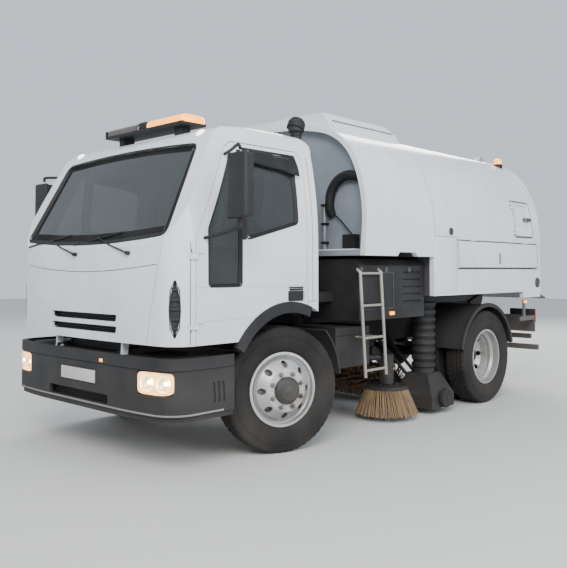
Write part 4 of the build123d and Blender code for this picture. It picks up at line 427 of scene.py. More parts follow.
def slab(bm, low, high, edge=0.004, rounds=2):
    """Box between two corners with rounded edges."""
    low, high = Vector(low), Vector(high)
    size = high - low
    shape = Matrix.Translation((low + high) / 2) @ Matrix.Diagonal((*size, 1))
    made = bmesh.ops.create_cube(bm, size=1, matrix=shape)
    edges = list({e for v in made["verts"] for e in v.link_edges})
    edge = min(edge, 0.45 * min(size))
    bmesh.ops.bevel(bm, geom=edges, offset=edge, segments=rounds, profile=0.6, affect="EDGES")


def side_slab(bm, out, low, high, edge=0.004, rounds=2):
    """Slab on one side of the truck, whose second measures count outwards from the middle."""
    ends = sorted((out * low[1], out * high[1]))
    slab(bm, (low[0], ends[0], low[2]), (high[0], ends[1], high[2]), edge, rounds=rounds)


cab_skin = skin_of("cab_shell")
bm = bmesh.new()
FRONT_SEAMS = (
    # curved line of the front flap and its two sides, as (y, z)
    [(-0.93, 1.501), (-0.6, 1.4696), (-0.3, 1.4526), (0, 1.447), (0.3, 1.4526), (0.6, 1.4696), (0.93, 1.501)],
    [(0.9823, 1.62), (0.9297, 1.3867), (0.877, 1.1533), (0.8275, 0.935)],
    [(-0.9823, 1.62), (-0.9297, 1.3867), (-0.877, 1.1533), (-0.8275, 0.935)],
)
SIDE_SEAMS = (
    # fold of the front corner, rear edge of the side and the short seam at its foot, as (x, z)
    ([(AXLE_X + 1.02, 1.66), (AXLE_X + 1.02, 0.93)], 0.006),
    ([(AXLE_X - 0.28, 2.42), (AXLE_X - 0.28, 1.2)], 0.005),
    ([(AXLE_X - 0.34, 1.2), (AXLE_X - 0.22, 1.2)], 0.005),
)
for line in FRONT_SEAMS:
    strip(bm, cab_skin, curved([(AHEAD_X, y, z) for y, z in line], 10), TO_REAR, 0.005)
for _, out in SIDES:
    for line, width in SIDE_SEAMS:
        side_strip(bm, cab_skin, out, line, width)
piece(bm, "cab_seams", seam_black, "cab")

INLET_FOOT_Z = 0.985
INLET_HEIGHT = 0.4
INLET_HALF_W = 0.036
INLET_ROWS = 67
INLET_RIM = (
    # distance from the middle and height
    (0, 0.982), (0.0324, 1.05), (0.03996, 1.18), (0.0324, 1.32),
    (0, 1.388), (-0.0324, 1.32), (-0.03996, 1.18), (-0.0324, 1.05),
)
bm = bmesh.new()
for _, out in SIDES:
    start = Vector((AXLE_X + 1.4, out * 1.36, 0))
    aim = Vector((-1, -out, 0))
    across = Vector((1, -out, 0)).normalized()
    rows = []
    for k in range(INLET_ROWS + 1):
        z = INLET_FOOT_Z + INLET_HEIGHT * k / INLET_ROWS
        half = INLET_HALF_W * math.sin(math.pi * (0.04 + 0.92 * k / INLET_ROWS)) ** 0.7
        row = []
        for j in range(5):
            level = start + across * half * (j - 2) / 2 + Vector((0, 0, z))
            hits = [on_skin(cab_skin, level + Vector((0, 0, rise)), aim)[0] for rise in (-0.006, 0, 0.006)]
            spot = min(hits, key=lambda hit: hit.dot(aim))
            row.append(bm.verts.new(Vector((spot.x, spot.y, z)) - aim * 0.001))
        rows.append(row)
    faces_between(bm, rows)
    rim = [start + across * d + Vector((0, 0, z)) for d, z in INLET_RIM]
    strip(bm, cab_skin, rim, aim, 0.008, lift=0.004, loop=True)
piece(bm, "corner_inlets", dark_plastic, "cab")

# Glazing: laminated windscreen and toughened side glass, lightly smoked, held in black
# rubber. The windscreen has a black printed border and two wipers on pivots at its foot.
tinted_glass = bpy.data.materials.new("tinted_glass")
tinted_glass.use_nodes = True
tree = tinted_glass.node_tree
glass_inputs = tree.nodes["Principled BSDF"].inputs
glass_inputs["Transmission Weight"].default_value = 0.9
glass_inputs["IOR"].default_value = 1.45
film = finish_step(tree, "TexNoise", "Fac", {"Scale": 2.5, "Detail": 5})
tree.links.new(blended(tree, film, (0.2, 0.23, 0.23, 1), (0.28, 0.3, 0.3, 1)), glass_inputs["Base Color"])
tree.links.new(ranged(tree, film, (0, 1), (0.01, 0.09)), glass_inputs["Roughness"])
for node in ("cab_glass", "door_glass_left", "door_glass_right"):
    dress(node, tinted_glass)

screen_skin = skin_of("cab_shell", "cab_glass")
pane_skin = skin_of("cab_glass")


def rounded(points, cut, parts=5):
    """Closed ring of points with its corners rounded off."""
    points = [Vector(p) for p in points]
    ring = []
    for before, corner, after in zip(points[-1:] + points, points, points[1:] + points[:1]):
        start = corner + (before - corner).normalized() * cut
        end = corner + (after - corner).normalized() * cut
        for t in (k / parts for k in range(parts + 1)):
            ring.append(start * (1 - t) ** 2 + corner * 2 * t * (1 - t) + end * t * t)
    return along(ring + ring[:1], 0.05)[:-1]


def gasket(bm, panel, pane, ring, aim, wide=0.014, inner=0.013, lift=0.004):
    """Rubber section round an opening: one lip on the panel and the other down on the pane."""
    aim, middle = Vector(aim), sum(ring, Vector()) / len(ring)
    rows = []
    for i, point in enumerate(ring):
        out = (ring[(i + 1) % len(ring)] - ring[i - 1]).cross(aim).normalized()
        if out.dot(point - middle) < 0:
            out = -out
        lips = ((panel, wide), (panel, 0.003), (pane, -inner))
        hits = [on_skin(skin, point + out * reach, aim) for skin, reach in lips]
        if not all(hits):
            continue
        (a, lean), (b, _), (c, face) = hits
        profile = (
            a - lean * 0.004, a + lean * lift * 0.6, b + lean * lift,
            b.lerp(c, 0.5) + face * lift, c + face * lift, c - face * 0.002,
        )
        rows.append([bm.verts.new(spot) for spot in profile])
    faces_between(bm, rows, ring=True, loop=True)


SCREEN_FOOT = ((-1.0, 1.722), (-0.75, 1.7), (-0.4, 1.68), (0, 1.672), (0.4, 1.68), (0.75, 1.7), (1.0, 1.722))
SCREEN_HEAD = (
    (0.915, 2.405), (0.6, 2.424), (0.3, 2.434), (0, 2.438), (-0.3, 2.434), (-0.6, 2.424), (-0.915, 2.405),
)
screen_ring = rounded([(AHEAD_X, y, z) for y, z in SCREEN_FOOT + SCREEN_HEAD], 0.055)
bm = bmesh.new()
gasket(bm, cab_skin, pane_skin, screen_ring, TO_REAR, wide=0.016, inner=0.016)
piece(bm, "windscreen_rubber", glazing_rubber, "cab")
BORDERS = (
    # printed black border of the glass: foot, head and both sides, as (y, z) and width
    ([(-0.93, 1.752), (-0.5, 1.727), (0, 1.716), (0.5, 1.727), (0.93, 1.752)], 0.07),
    ([(-0.85, 2.377), (-0.4, 2.4), (0, 2.407), (0.4, 2.4), (0.85, 2.377)], 0.036),
    ([(0.957, 1.74), (0.925, 2.0), (0.885, 2.36)], 0.036),
    ([(-0.957, 1.74), (-0.925, 2.0), (-0.885, 2.36)], 0.036),
)
bm = bmesh.new()
for line, width in BORDERS:
    strip(bm, pane_skin, along([(AHEAD_X, y, z) for y, z in line]), TO_REAR, width, lift=0.0006, sink=0.001)
piece(bm, "windscreen_border", seam_black, "cab")


def stood_on(spot, normal):
    """Place of a turned piece that stands out from a surface."""
    return Matrix.Translation(spot) @ normal.to_track_quat("Y", "Z").to_matrix().to_4x4()


WIPER_ARM = 0.5
BLADE_LENGTH = 0.6
bm = bmesh.new()
for foot_y in (0.62, -0.12):
    foot, normal = on_skin(cab_skin, (AHEAD_X, foot_y, 1.585), TO_REAR)
    turned(bm, [(0, 0), (0.016, 0), (0.014, 0.03), (0, 0.034)], 16, stood_on(foot, normal))
    tip_y = foot_y - WIPER_ARM
    tip, lean = on_skin(screen_skin, (AHEAD_X, tip_y, 1.71), TO_REAR)
    arm = [foot + normal * 0.025, foot.lerp(tip, 0.5) + normal * 0.035, tip + lean * 0.02]
    pipe(bm, arm, [0.008, 0.006, 0.005], 8)
    blade = []
    for share in (k / 12 for k in range(13)):
        start = (AHEAD_X, tip_y + BLADE_LENGTH * (share - 0.5), 1.66 + 0.085 * share)
        spot, lean = on_skin(screen_skin, start, TO_REAR)
        blade.append(spot + lean * 0.009)
    pipe(bm, blade, 0.007, 6)
piece(bm, "wipers", dark_plastic, "cab")

# Doors: glazing strips, a dark plastic deflector, a recessed pull and an inner card with its
# arm rest, which all swing with the door, as do the mirrors on their bent tube arms.
mirror_glass = surface(
    "mirror_glass", (0.7, 0.72, 0.74), (0.6, 0.62, 0.64), rough=0.05, metal=1.0, bump=0.0, grain=10,
)
trim_plastic = surface(
    "trim_plastic", (0.035, 0.036, 0.038), (0.06, 0.06, 0.06), rough=0.7, bump=0.4, grain=300,
)
WINDOWS = (
    # corners of the main and the front pane, as (x, z), and how far they are rounded
    ([(-0.095, 1.845), (0.47, 1.7), (0.47, 2.375), (-0.095, 2.375)], 0.03),
    ([(0.535, 1.345), (0.845, 1.345), (0.85, 1.76), (0.598, 2.33), (0.535, 2.375)], 0.022),
)
MIRROR_X = AXLE_X + 0.79
MIRROR_Y = 1.4
UPPER_ARM = ((0.635, 1.035, 2.33), (0.7, 1.2, 2.345), (0.79, 1.37, 2.352), (0.79, MIRROR_Y, 2.32))
LOWER_ARM = ((0.79, MIRROR_Y, 1.76), (0.81, 1.34, 1.745), (0.88, 1.18, 1.7), (0.9, 1.118, 1.69))


def rim_of(rows):
    """Border of a grid of points, as one ring."""
    return [row[0] for row in rows] + rows[-1][1:] + [row[-1] for row in rows[-2::-1]] + rows[0][-2:0:-1]


for side, out in SIDES:
    body = "door_" + side
    pane = skin_of("door_glass_" + side)
    skin = skin_of(body, "door_glass_" + side)
    aim = (0, -out, 0)
    bm = bmesh.new()
    for window, corner in WINDOWS:
        ring = rounded([(AXLE_X + x, out * BESIDE_Y, z) for x, z in window], corner)
        gasket(bm, skin_of(body), pane, ring, aim)
    side_strip(bm, skin, out, [(AXLE_X + 0.5025, 1.69), (AXLE_X + 0.5025, 2.385)], 0.05, lift=0.003)
    piece(bm, "door_window_rubber_" + side, glazing_rubber, body)
    bm = bmesh.new()
    rows = []
    for k in range(19):
        drop = 0.1 + 0.05 * math.sin(math.pi * 0.5 * k / 18) + 0.03 * max(0, k - 13) / 5
        row = []
        for j in range(5):
            spot, _ = on_skin(skin, (AXLE_X + 0.47 - 0.6 * k / 18, out * BESIDE_Y, 2.41 - drop * j / 4), aim)
            stand = 0.003 + 0.034 * math.sin(math.pi * 0.55 * j / 4)
            row.append(bm.verts.new(spot + Vector((0, out * stand, 0))))
        rows.append(row)
    faces_between(bm, rows)
    deflector = piece(bm, "deflector_" + side, glazing_rubber, body)
    thick = deflector.modifiers.new("thickness", "SOLIDIFY")
    thick.thickness = 0.004
    bm = bmesh.new()
    spot, _ = on_skin(skin, (AXLE_X - 0.08, out * BESIDE_Y, 1.265), aim)
    slab(bm, (AXLE_X - 0.178, spot.y - 0.004, 1.207), (AXLE_X + 0.018, spot.y + 0.006, 1.323), 0.01)
    side_slab(bm, out, (AXLE_X - 0.165, 1.122, 1.29), (AXLE_X + 0.005, 1.134, 1.312), 0.005)
    piece(bm, "door_pull_" + side, dark_plastic, body)
    bm = bmesh.new()
    card = ([], [])
    for i in range(15):
        for rows in card:
            rows.append([])
        for j in range(9):
            start = (AXLE_X - 0.2 + 0.66 * i / 14, out * 0.8, 1.235 + 0.41 * j / 8)
            spot, _ = on_skin(skin, start, (0, out, 0))
            depth = 0.004 if i in (0, 14) or j in (0, 8) else 0.012
            for rows, reach in zip(card, (0.002, -depth)):
                rows[-1].append(bm.verts.new(spot + Vector((0, out * reach, 0))))
    for rows in card:
        faces_between(bm, rows)
    faces_between(bm, [rim_of(rows) for rows in card], ring=True)
    spot, _ = on_skin(skin, (AXLE_X + 0.1, out * 0.8, 1.5), (0, out, 0))
    inner = out * spot.y
    side_slab(bm, out, (AXLE_X - 0.1, inner - 0.06, 1.49), (AXLE_X + 0.32, inner, 1.525), 0.014, rounds=3)
    piece(bm, "door_card_" + side, trim_plastic, body)
    bm = bmesh.new()
    x, y = MIRROR_X, out * MIRROR_Y
    slab(bm, (x - 0.005, y - 0.1, 1.825), (x + 0.05, y + 0.1, 2.295), 0.03, rounds=4)
    slab(bm, (x - 0.045, y - 0.092, 1.835), (x + 0.01, y + 0.092, 2.285), 0.012, rounds=3)
    pipe(bm, curved([(AXLE_X + dx, out * reach, z) for dx, reach, z in UPPER_ARM]), 0.0125, 14)
    pipe(bm, [(x, y, 1.755), (x, y, 1.84)], 0.015, 14)
    pipe(bm, curved([(AXLE_X + dx, out * reach, z) for dx, reach, z in LOWER_ARM]), 0.0125, 14)
    piece(bm, "mirror_" + side + "_case", dark_plastic, body, ("mirror_" + side,))
    bm = bmesh.new()
    for low, high in ((1.99, 2.275), (1.845, 1.975)):
        slab(bm, (x - 0.0475, y - 0.082, low), (x - 0.044, y + 0.082, high), 0.0012)
    piece(bm, "mirror_" + side + "_face", mirror_glass, body)

# Front bumper, wings and mudguards: black moulded plastic, greyed by weather. The bumper has
# a pale scuffed lip, a shelf on top and mesh in its intake; bars line the cab's two slots.
for node in ("front_wings", "mudguards", "front_bumper"):
    dress(node, dark_plastic)
scuffed_plastic = surface(
    "scuffed_plastic", (0.2, 0.19, 0.18), (0.32, 0.31, 0.29), rough=0.7, bump=0.4, grain=180, dirt=0.5,
)
bumper_skin = skin_of("front_bumper")
LIP_Z = 0.441
LIP_SECTION = ((-0.004, 0.008), (0.003, 0.006), (0.0045, 0), (0.003, -0.006), (-0.004, -0.008))
lip_middle = Vector((2.2, 0, LIP_Z))
bm = bmesh.new()
rows = []
for k in range(61):
    turn = math.radians(3 * k - 90)
    start = Vector((2.55 + 1.2 * math.cos(turn), 1.7 * math.sin(turn), LIP_Z))
    found = on_skin(bumper_skin, start, lip_middle - start)
    if found:
        spot, normal = found
        section = [spot + normal * reach + Vector((0, 0, rise)) for reach, rise in LIP_SECTION]
        rows.append([bm.verts.new(corner) for corner in section])
faces_between(bm, rows, ring=True, caps=True)
piece(bm, "bumper_lip", scuffed_plastic, "chassis")
bm = bmesh.new()
slab(bm, (2.892, -0.56, 0.432), (2.898, 0.56, 0.56), 0.002)
for z in (0.461 + 0.014 * k for k in range(5)):
    slab(bm, (2.898, -0.5, z), (2.908, 0.5, z + 0.004), 0.0015)
for y in (-0.497 + 0.03 * k for k in range(34)):
    slab(bm, (2.896, y, 0.45), (2.904, y + 0.003, 0.53), 0.001)
piece(bm, "intake_mesh", dark_plastic, "chassis")
bm = bmesh.new()
slab(bm, (2.45, -0.4, 0.815), (2.925, 0.4, 0.828), 0.003)
for _, out in SIDES:
    side_slab(bm, out, (2.45, 0.52, 0.815), (2.8, 1.0, 0.828), 0.003)
    side_slab(bm, out, (2.8, 0.52, 0.815), (2.88, 0.93, 0.828), 0.003)
piece(bm, "bumper_shelf", dark_plastic, "chassis")
GRILLE_SLOTS_Z = (0.985, 1.072)
SLOT_LINER = (
    # sheets of the liner: floor, roof and both ends, as y from and to, and z from and to
    (-0.474, 0.474, 0.0005, 0.002), (-0.474, 0.474, 0.05, 0.0515),
    (-0.4745, -0.471, 0, 0.052), (0.471, 0.4745, 0, 0.052),
)
bm = bmesh.new()
slab(bm, (2.858, -0.485, 0.975), (2.864, 0.485, 1.135), 0.002)
for low in GRILLE_SLOTS_Z:
    for z in (low + 0.007 + 0.016 * k for k in range(3)):
        slab(bm, (2.862, -0.468, z), (2.884, 0.468, z + 0.005), 0.002)
    for a, b, c, d in SLOT_LINER:
        slab(bm, (2.845, a, low + c), (2.896, b, low + d), 0.0004)
piece(bm, "cab_grille", dark_plastic, "cab")

# Road lamps: headlamps with a clear lens over two bright bowls in the bumper's corners, red
# tail lamps with two lit bars, and small amber markers at the sides and over the front
# plate. All of them are lit.
def lit(name, colour, second, glow, strength):
    """Lamp finish that shines by itself."""
    made = surface(name, colour, second, rough=0.15, coat=0.6, bump=0.35, grain=420, mottle=30)
    shader = made.node_tree.nodes["Principled BSDF"]
    shader.inputs["Emission Color"].default_value = (*glow, 1)
    shader.inputs["Emission Strength"].default_value = strength
    return made


bulb_glow = lit("bulb_glow", (1, 0.9, 0.7), (1, 0.85, 0.6), (1, 0.78, 0.42), 40)
bowl_chrome = lit("bowl_chrome", (0.9, 0.88, 0.82), (0.8, 0.76, 0.68), (1, 0.55, 0.16), 1.5)
bowl_chrome.node_tree.nodes["Principled BSDF"].inputs["Metallic"].default_value = 0.8
lens_clear = surface(
    "lens_clear", (0.93, 0.93, 0.9), (0.86, 0.86, 0.82), rough=0.08, bump=0.5, grain=240, coat=0.5,
)
lens_inputs = lens_clear.node_tree.nodes["Principled BSDF"].inputs
lens_inputs["Transmission Weight"].default_value = 0.95
lens_inputs["IOR"].default_value = 1.12
lens_red = lit("lens_red", (0.4, 0.012, 0.01), (0.28, 0.008, 0.008), (1, 0.03, 0.02), 0.9)
bar_lit = lit("bar_lit", (1, 0.7, 0.3), (1, 0.6, 0.2), (1, 0.45, 0.08), 6)
lens_amber = lit("lens_amber", (0.8, 0.28, 0.02), (0.6, 0.2, 0.02), (1, 0.32, 0.02), 3.5)
lamp_skin = skin_of("road_lamps")
lamp_turn = Matrix.Rotation(math.radians(90), 4, "Z")
HEADLAMP_Y = 0.935
HEADLAMP_Z = 0.66
HEADLAMP_HALF_W = 0.152
HEADLAMP_HALF_H = 0.078
BOWL = (
    (0, 0), (0.02, 0.002), (0.045, 0.012), (0.062, 0.03), (0.066, 0.046),
    (0.069, 0.046), (0.066, 0.03), (0.048, 0.01), (0.02, -0.002), (0, -0.004),
)
BULB = ((0, 0), (0.012, 0.002), (0.014, 0.02), (0.008, 0.03), (0, 0.032))
for side, out in SIDES:
    lens, shell, bulbs = bmesh.new(), bmesh.new(), bmesh.new()
    grid = []
    for u in (i / 10 - 1 for i in range(21)):
        row = []
        for v in (j / 5 - 1 for j in range(11)):
            scale = max(abs(u), abs(v), 1e-6) / (u ** 6 + v ** 6 + 1e-30) ** (1 / 6)
            y = out * (HEADLAMP_Y + HEADLAMP_HALF_W * u * scale)
            spot, _ = on_skin(lamp_skin, (AHEAD_X, y, HEADLAMP_Z + HEADLAMP_HALF_H * v * scale), TO_REAR)
            row.append(spot)
        grid.append(row)
    faces_between(lens, [[lens.verts.new(spot + Vector((0.002, 0, 0))) for spot in row] for row in grid])
    middle = grid[10][5] - Vector((0.07, 0, 0))
    front = [shell.verts.new(spot - Vector((0.002, 0, 0))) for spot in rim_of(grid)]
    back = [shell.verts.new((spot - Vector((0.066, 0, 0))).lerp(middle, 0.12)) for spot in rim_of(grid)]
    faces_between(shell, [front, back], ring=True)
    shell.faces.new(back)
    for i in (5, 15):
        hub = stood_on(grid[i][5] - Vector((0.058, 0, 0)), Vector((1, out * 0.25, 0)).normalized())
        turned(shell, BOWL, 32, hub)
        turned(bulbs, BULB, 16, hub)
    piece(shell, "headlamp_bowls_" + side, bowl_chrome, "chassis", ("road_lamps",) if out > 0 else ())
    piece(bulbs, "headlamp_bulbs_" + side, bulb_glow, "chassis")
    piece(lens, "headlamp_lens_" + side, lens_clear, "chassis")
    bm = bmesh.new()
    side_slab(bm, out, (-2.684, 0.872, 0.817), (-2.64, 1.193, 0.973), 0.006)
    for y in (0.94, 1.02, 1.1):
        side_slab(bm, out, (-2.686, y - 0.003, 0.822), (-2.68, y + 0.003, 0.968), 0.001)
    piece(bm, "tail_lamp_" + side, lens_red, "chassis")
    bm = bmesh.new()
    side_slab(bm, out, (-2.654, 0.868, 0.811), (-2.632, 1.197, 0.979), 0.004)
    piece(bm, "tail_lamp_case_" + side, dark_plastic, "chassis")
    bm = bmesh.new()
    for y in (0.975, 1.125):
        side_slab(bm, out, (-2.6875, y - 0.013, 0.83), (-2.682, y + 0.013, 0.96), 0.002)
    dot = Matrix.Translation((-2.682, out * 1.167, 0.895)) @ lamp_turn
    turned(bm, [(0, 0.006), (0.012, 0.005), (0.016, 0.001), (0, 0.001)], 20, dot)
    piece(bm, "tail_lamp_bars_" + side, bar_lit, "chassis")
    bm = bmesh.new()
    side_slab(bm, out, (0.288, 1.141, 1.036), (0.352, 1.157, 1.069))
    side_slab(bm, out, (-2.382, 1.195, 1.061), (-2.333, 1.213, 1.094))
    if out > 0:
        slab(bm, (2.952, 0.315, 0.765), (2.9605, 0.357, 0.79), 0.003)
    piece(bm, "side_markers_" + side, lens_amber, "chassis")

# Number plates: pressed blanks with nothing on them, white in front and yellow behind, each
# held in a thin raised border of black plastic.
plate_white = surface(
    "plate_white", (0.62, 0.62, 0.58), (0.5, 0.5, 0.46), rough=0.4, bump=0.15, grain=500, dirt=0.5,
)
plate_yellow = surface(
    "plate_yellow", (0.62, 0.42, 0.06), (0.5, 0.33, 0.05), rough=0.4, bump=0.15, grain=500, dirt=0.5,
)
PLATE_HALF_W = 0.258
PLATE_EDGE = 0.006
PLATES = (
    # name, finish, node, x of the plate and of its border, middle, and lower and upper edge
    ("front_plate", plate_white, ("number_plates",), 2.9535, 2.9555, 0, 0.589, 0.697),
    ("rear_plate", plate_yellow, (), -2.6355, -2.6365, 0.9, 0.704, 0.8),
)
borders = bmesh.new()
for name, finish, stands_for, x, border_x, y, low, high in PLATES:
    left, right = y - PLATE_HALF_W, y + PLATE_HALF_W
    bm = bmesh.new()
    slab(bm, (x, left, low), (x + 0.003, right, high), 0.0012)
    piece(bm, name, finish, "chassis", stands_for)
    for a, b, c, d in (
        (left, right, low, low + PLATE_EDGE), (left, right, high - PLATE_EDGE, high),
        (left, left + PLATE_EDGE, low, high), (right - PLATE_EDGE, right, low, high),
    ):
        slab(borders, (border_x, a, c), (border_x + 0.0018, b, d), 0.0006)
piece(borders, "plate_borders", dark_plastic, "chassis")

# Cab interior: moulded dashboard and steering wheel in dark grey plastic, and two seats on
# steel pedestals with cushions of woven cloth, sewn in channels.
FLOOR_Z = 1.265
dial_glow = lit("dial_glow", (0.1, 0.12, 0.12), (0.06, 0.07, 0.07), (0.4, 0.6, 0.5), 0.4)
SEAT_Y = 0.52
HOOP_R = 0.21
DASH = (
    # section of the dashboard from its foot over the top and back down, as (x, z)
    (0.76, 1.268), (1.05, 1.268), (1.066, 1.6), (1.0, 1.632),
    (0.85, 1.648), (0.78, 1.62), (0.722, 1.56), (0.742, 1.46),
)
DASH_MIDDLE_Z = 1.46
DASH_STATIONS = (
    # place across the cab, and height there as a share
    (-0.995, 0.98), (-0.96, 1), (0.96, 1), (0.995, 0.98),
)
bm = bmesh.new()
rows = []
for y, share in DASH_STATIONS:
    section = [(AXLE_X + x, y, DASH_MIDDLE_Z + (z - DASH_MIDDLE_Z) * share) for x, z in DASH]
    rows.append([bm.verts.new(corner) for corner in section])
faces_between(bm, rows, ring=True, caps=True)
tilted = Matrix.Translation((AXLE_X + 0.64, -SEAT_Y, 1.64)) @ Matrix.Rotation(math.radians(-41), 4, "Y")
hoop = [Vector((math.cos(turn), math.sin(turn), 0)) for turn in (math.pi * k / 24 for k in range(49))]
pipe(bm, [tilted @ (spot * HOOP_R) for spot in hoop], 0.015, 12)
for a in (math.radians(20), math.radians(160), math.radians(270)):
    spoke = [Vector((r * math.cos(a), r * math.sin(a), -0.015 * (0.2 - r) / 0.2)) for r in (0.0, 0.1, 0.205)]
    pipe(bm, [tilted @ spot for spot in spoke], 0.011, 8)
pipe(bm, [tilted @ Vector((0, 0, 0.012)), tilted @ Vector((0, 0, -0.03))], 0.05, 24)
pipe(bm, [tilted @ Vector((0, 0, -0.03)), Vector((AXLE_X + 0.79, -SEAT_Y, 1.47))], 0.028, 16)
slab(bm, (AXLE_X + 0.76, -0.78, 1.6), (AXLE_X + 0.95, -0.3, 1.685), 0.03, rounds=4)
for y in (-SEAT_Y, SEAT_Y):
    slab(bm, (AXLE_X - 0.005, y - 0.19, 1.266), (AXLE_X + 0.39, y + 0.19, 1.511), 0.02)
    slab(bm, (AXLE_X - 0.05, y - 0.215, 1.49), (AXLE_X + 0.43, y + 0.215, 1.512), 0.008)
piece(bm, "dashboard", trim_plastic, "cab", ("cab_interior",))
bm = bmesh.new()
slab(bm, (AXLE_X - 0.29, -0.89, FLOOR_Z + 0.0003), (AXLE_X + 0.77, 0.89, FLOOR_Z + 0.003), 0.001)
for k in range(22):
    x = AXLE_X - 0.27 + 0.046 * k
    slab(bm, (x, -0.88, FLOOR_Z + 0.002), (x + 0.02, 0.88, FLOOR_Z + 0.005), 0.0012)
piece(bm, "floor_mat", glazing_rubber, "cab")
bm = bmesh.new()
for y in (-0.62, -0.42):
    dial = Matrix.Translation((AXLE_X + 0.757, y, 1.637)) @ lamp_turn
    turned(bm, [(0, 0.004), (0.05, 0.004), (0.052, 0), (0, 0)], 28, dial)
piece(bm, "dials", dial_glow, "cab")

seat_cloth = surface(
    "seat_cloth", (0.05, 0.06, 0.085), (0.085, 0.09, 0.11), rough=0.9, bump=0.7, grain=700, mottle=14,
)


def pad(bm, half, place, channels):
    """Stuffed pad: crowned faces, sides that pull in between the corners, and sewn channels."""
    across, over = 40, 72
    rim = {}
    for face in (1, -1):
        rows = []
        for i in range(over + 1):
            u = math.sin(math.pi * (i / over - 0.5))
            row = []
            for j in range(across + 1):
                v = math.sin(math.pi * (j / across - 0.5))
                swell = ((1 - u ** 8) * (1 - v ** 8)) ** 0.5
                crown = 0.88 + 0.12 * (1 - u * u) * (1 - v * v)
                sewn = sum(math.exp(-((u - c) / 0.03) ** 2) for c in channels) * max(0, 1 - v ** 6)
                pucker = 0.02 * math.sin(23 * v + 9 * u) * math.exp(-min(abs(u - c) for c in channels) * 9)
                height = swell * crown * (1 - (0.2 * sewn if face > 0 else 0) + pucker)
                corner = 1 - 0.07 * abs(u * v) ** 5
                x = half[0] * u * corner * (1 - 0.02 * (1 - v * v))
                y = half[1] * v * corner * (1 - 0.03 * (1 - u * u))
                if (i, j) in rim:
                    row.append(rim[i, j])
                else:
                    row.append(bm.verts.new(place @ Vector((x, y, half[2] * face * height))))
                if i in (0, over) or j in (0, across):
                    rim[i, j] = row[-1]
            rows.append(row)
        faces_between(bm, rows)
    line = [rim[0, j] for j in range(across)] + [rim[i, across] for i in range(over)]
    line += [rim[over, j] for j in range(across, 0, -1)] + [rim[i, 0] for i in range(over, -1, -1)]
    pipe(bm, [vert.co.copy() for vert in line], 0.004, 6)


for name, y in (("driver", -SEAT_Y), ("mate", SEAT_Y)):
    bm = bmesh.new()
    pad(bm, (0.256, 0.242, 0.071), Matrix.Translation((AXLE_X + 0.195, y, 1.586)), (-0.5, 0, 0.5))
    piece(bm, name + "_seat_cushion", seat_cloth, "cab")
    bm = bmesh.new()
    lean = Matrix(((-0.1327, 0, 0.9912), (0, -1, 0), (0.9912, 0, 0.1327))).to_4x4()
    back = Matrix.Translation((AXLE_X - 0.054, y, 1.971)) @ lean
    pad(bm, (0.302, 0.232, 0.06), back, (-0.6, -0.2, 0.2, 0.6))
    piece(bm, name + "_seat_back", seat_cloth, "cab")

# Roof light bar: an amber lens, lit on the left half and smoked on the right, on a black
# rail with two feet. The roof's front corners carry a small marker lamp each.
lens_smoked = surface(
    "lens_smoked", (0.05, 0.035, 0.03), (0.09, 0.06, 0.05), rough=0.15, coat=0.7, bump=0.3, grain=300,
)
marker_white = lit("marker_white", (1, 0.92, 0.8), (1, 0.88, 0.7), (1, 0.8, 0.55), 5)
bar_amber = lit("bar_amber", (0.9, 0.4, 0.05), (0.8, 0.3, 0.04), (1, 0.34, 0.02), 3.2)
BAR_X = AXLE_X + 0.52
LENS_HALF_D = 0.128
LENS_FOOT_Z = 2.662
LENS_HEIGHT = 0.071
bm = bmesh.new()
slab(bm, (BAR_X - 0.13, -0.555, 2.641), (BAR_X + 0.13, 0.555, 2.668), 0.01, rounds=3)
slab(bm, (BAR_X - 0.124, -0.06, 2.66), (BAR_X + 0.124, 0.06, 2.728), 0.025, rounds=4)
slab(bm, (BAR_X - 0.128, -0.56, 2.655), (BAR_X + 0.128, -0.535, 2.715), 0.01, rounds=3)
for y in (-0.4, 0.4):
    slab(bm, (BAR_X - 0.058, y - 0.038, 2.565), (BAR_X + 0.058, y + 0.038, 2.65), 0.008)
piece(bm, "light_bar_rail", dark_plastic, "cab", ("roof_light_bar",))


def bar_lens(bm, low, high):
    """Domed lens with moulded flutes along it."""
    rows = []
    count = 40
    for i in range(count + 1):
        y = low + (high - low) * i / count
        close = min(1, min(i, count - i) / 3)
        swell = math.sqrt(1 - (1 - close) ** 2) * 0.25 + 0.75
        flute = 0.0012 * (i % 2)
        row = []
        for turn in (math.pi * k / 16 for k in range(17)):
            reach = math.copysign(abs(math.cos(turn)) ** 0.5, math.cos(turn)) * swell
            height = math.sin(turn) ** 0.5 * swell
            x = BAR_X + (LENS_HALF_D - flute) * reach
            row.append(bm.verts.new((x, y, LENS_FOOT_Z + (LENS_HEIGHT - flute) * height)))
        rows.append(row)
    faces_between(bm, rows, ring=True, caps=True)


for name, finish, low, high in (("lit", bar_amber, 0.05, 0.558), ("dark", lens_smoked, -0.54, -0.05)):
    bm = bmesh.new()
    bar_lens(bm, low, high)
    piece(bm, "light_bar_" + name, finish, "cab", crease=50)
bm = bmesh.new()
for _, out in SIDES:
    spot, normal = on_skin(cab_skin, (AHEAD_X, out * 0.86, 2.515), TO_REAR)
    dome = [(0, 0.016), (0.02, 0.014), (0.033, 0.007), (0.038, -0.004), (0, -0.004)]
    turned(bm, dome, 28, stood_on(spot, normal))
piece(bm, "roof_markers", marker_white, "cab")

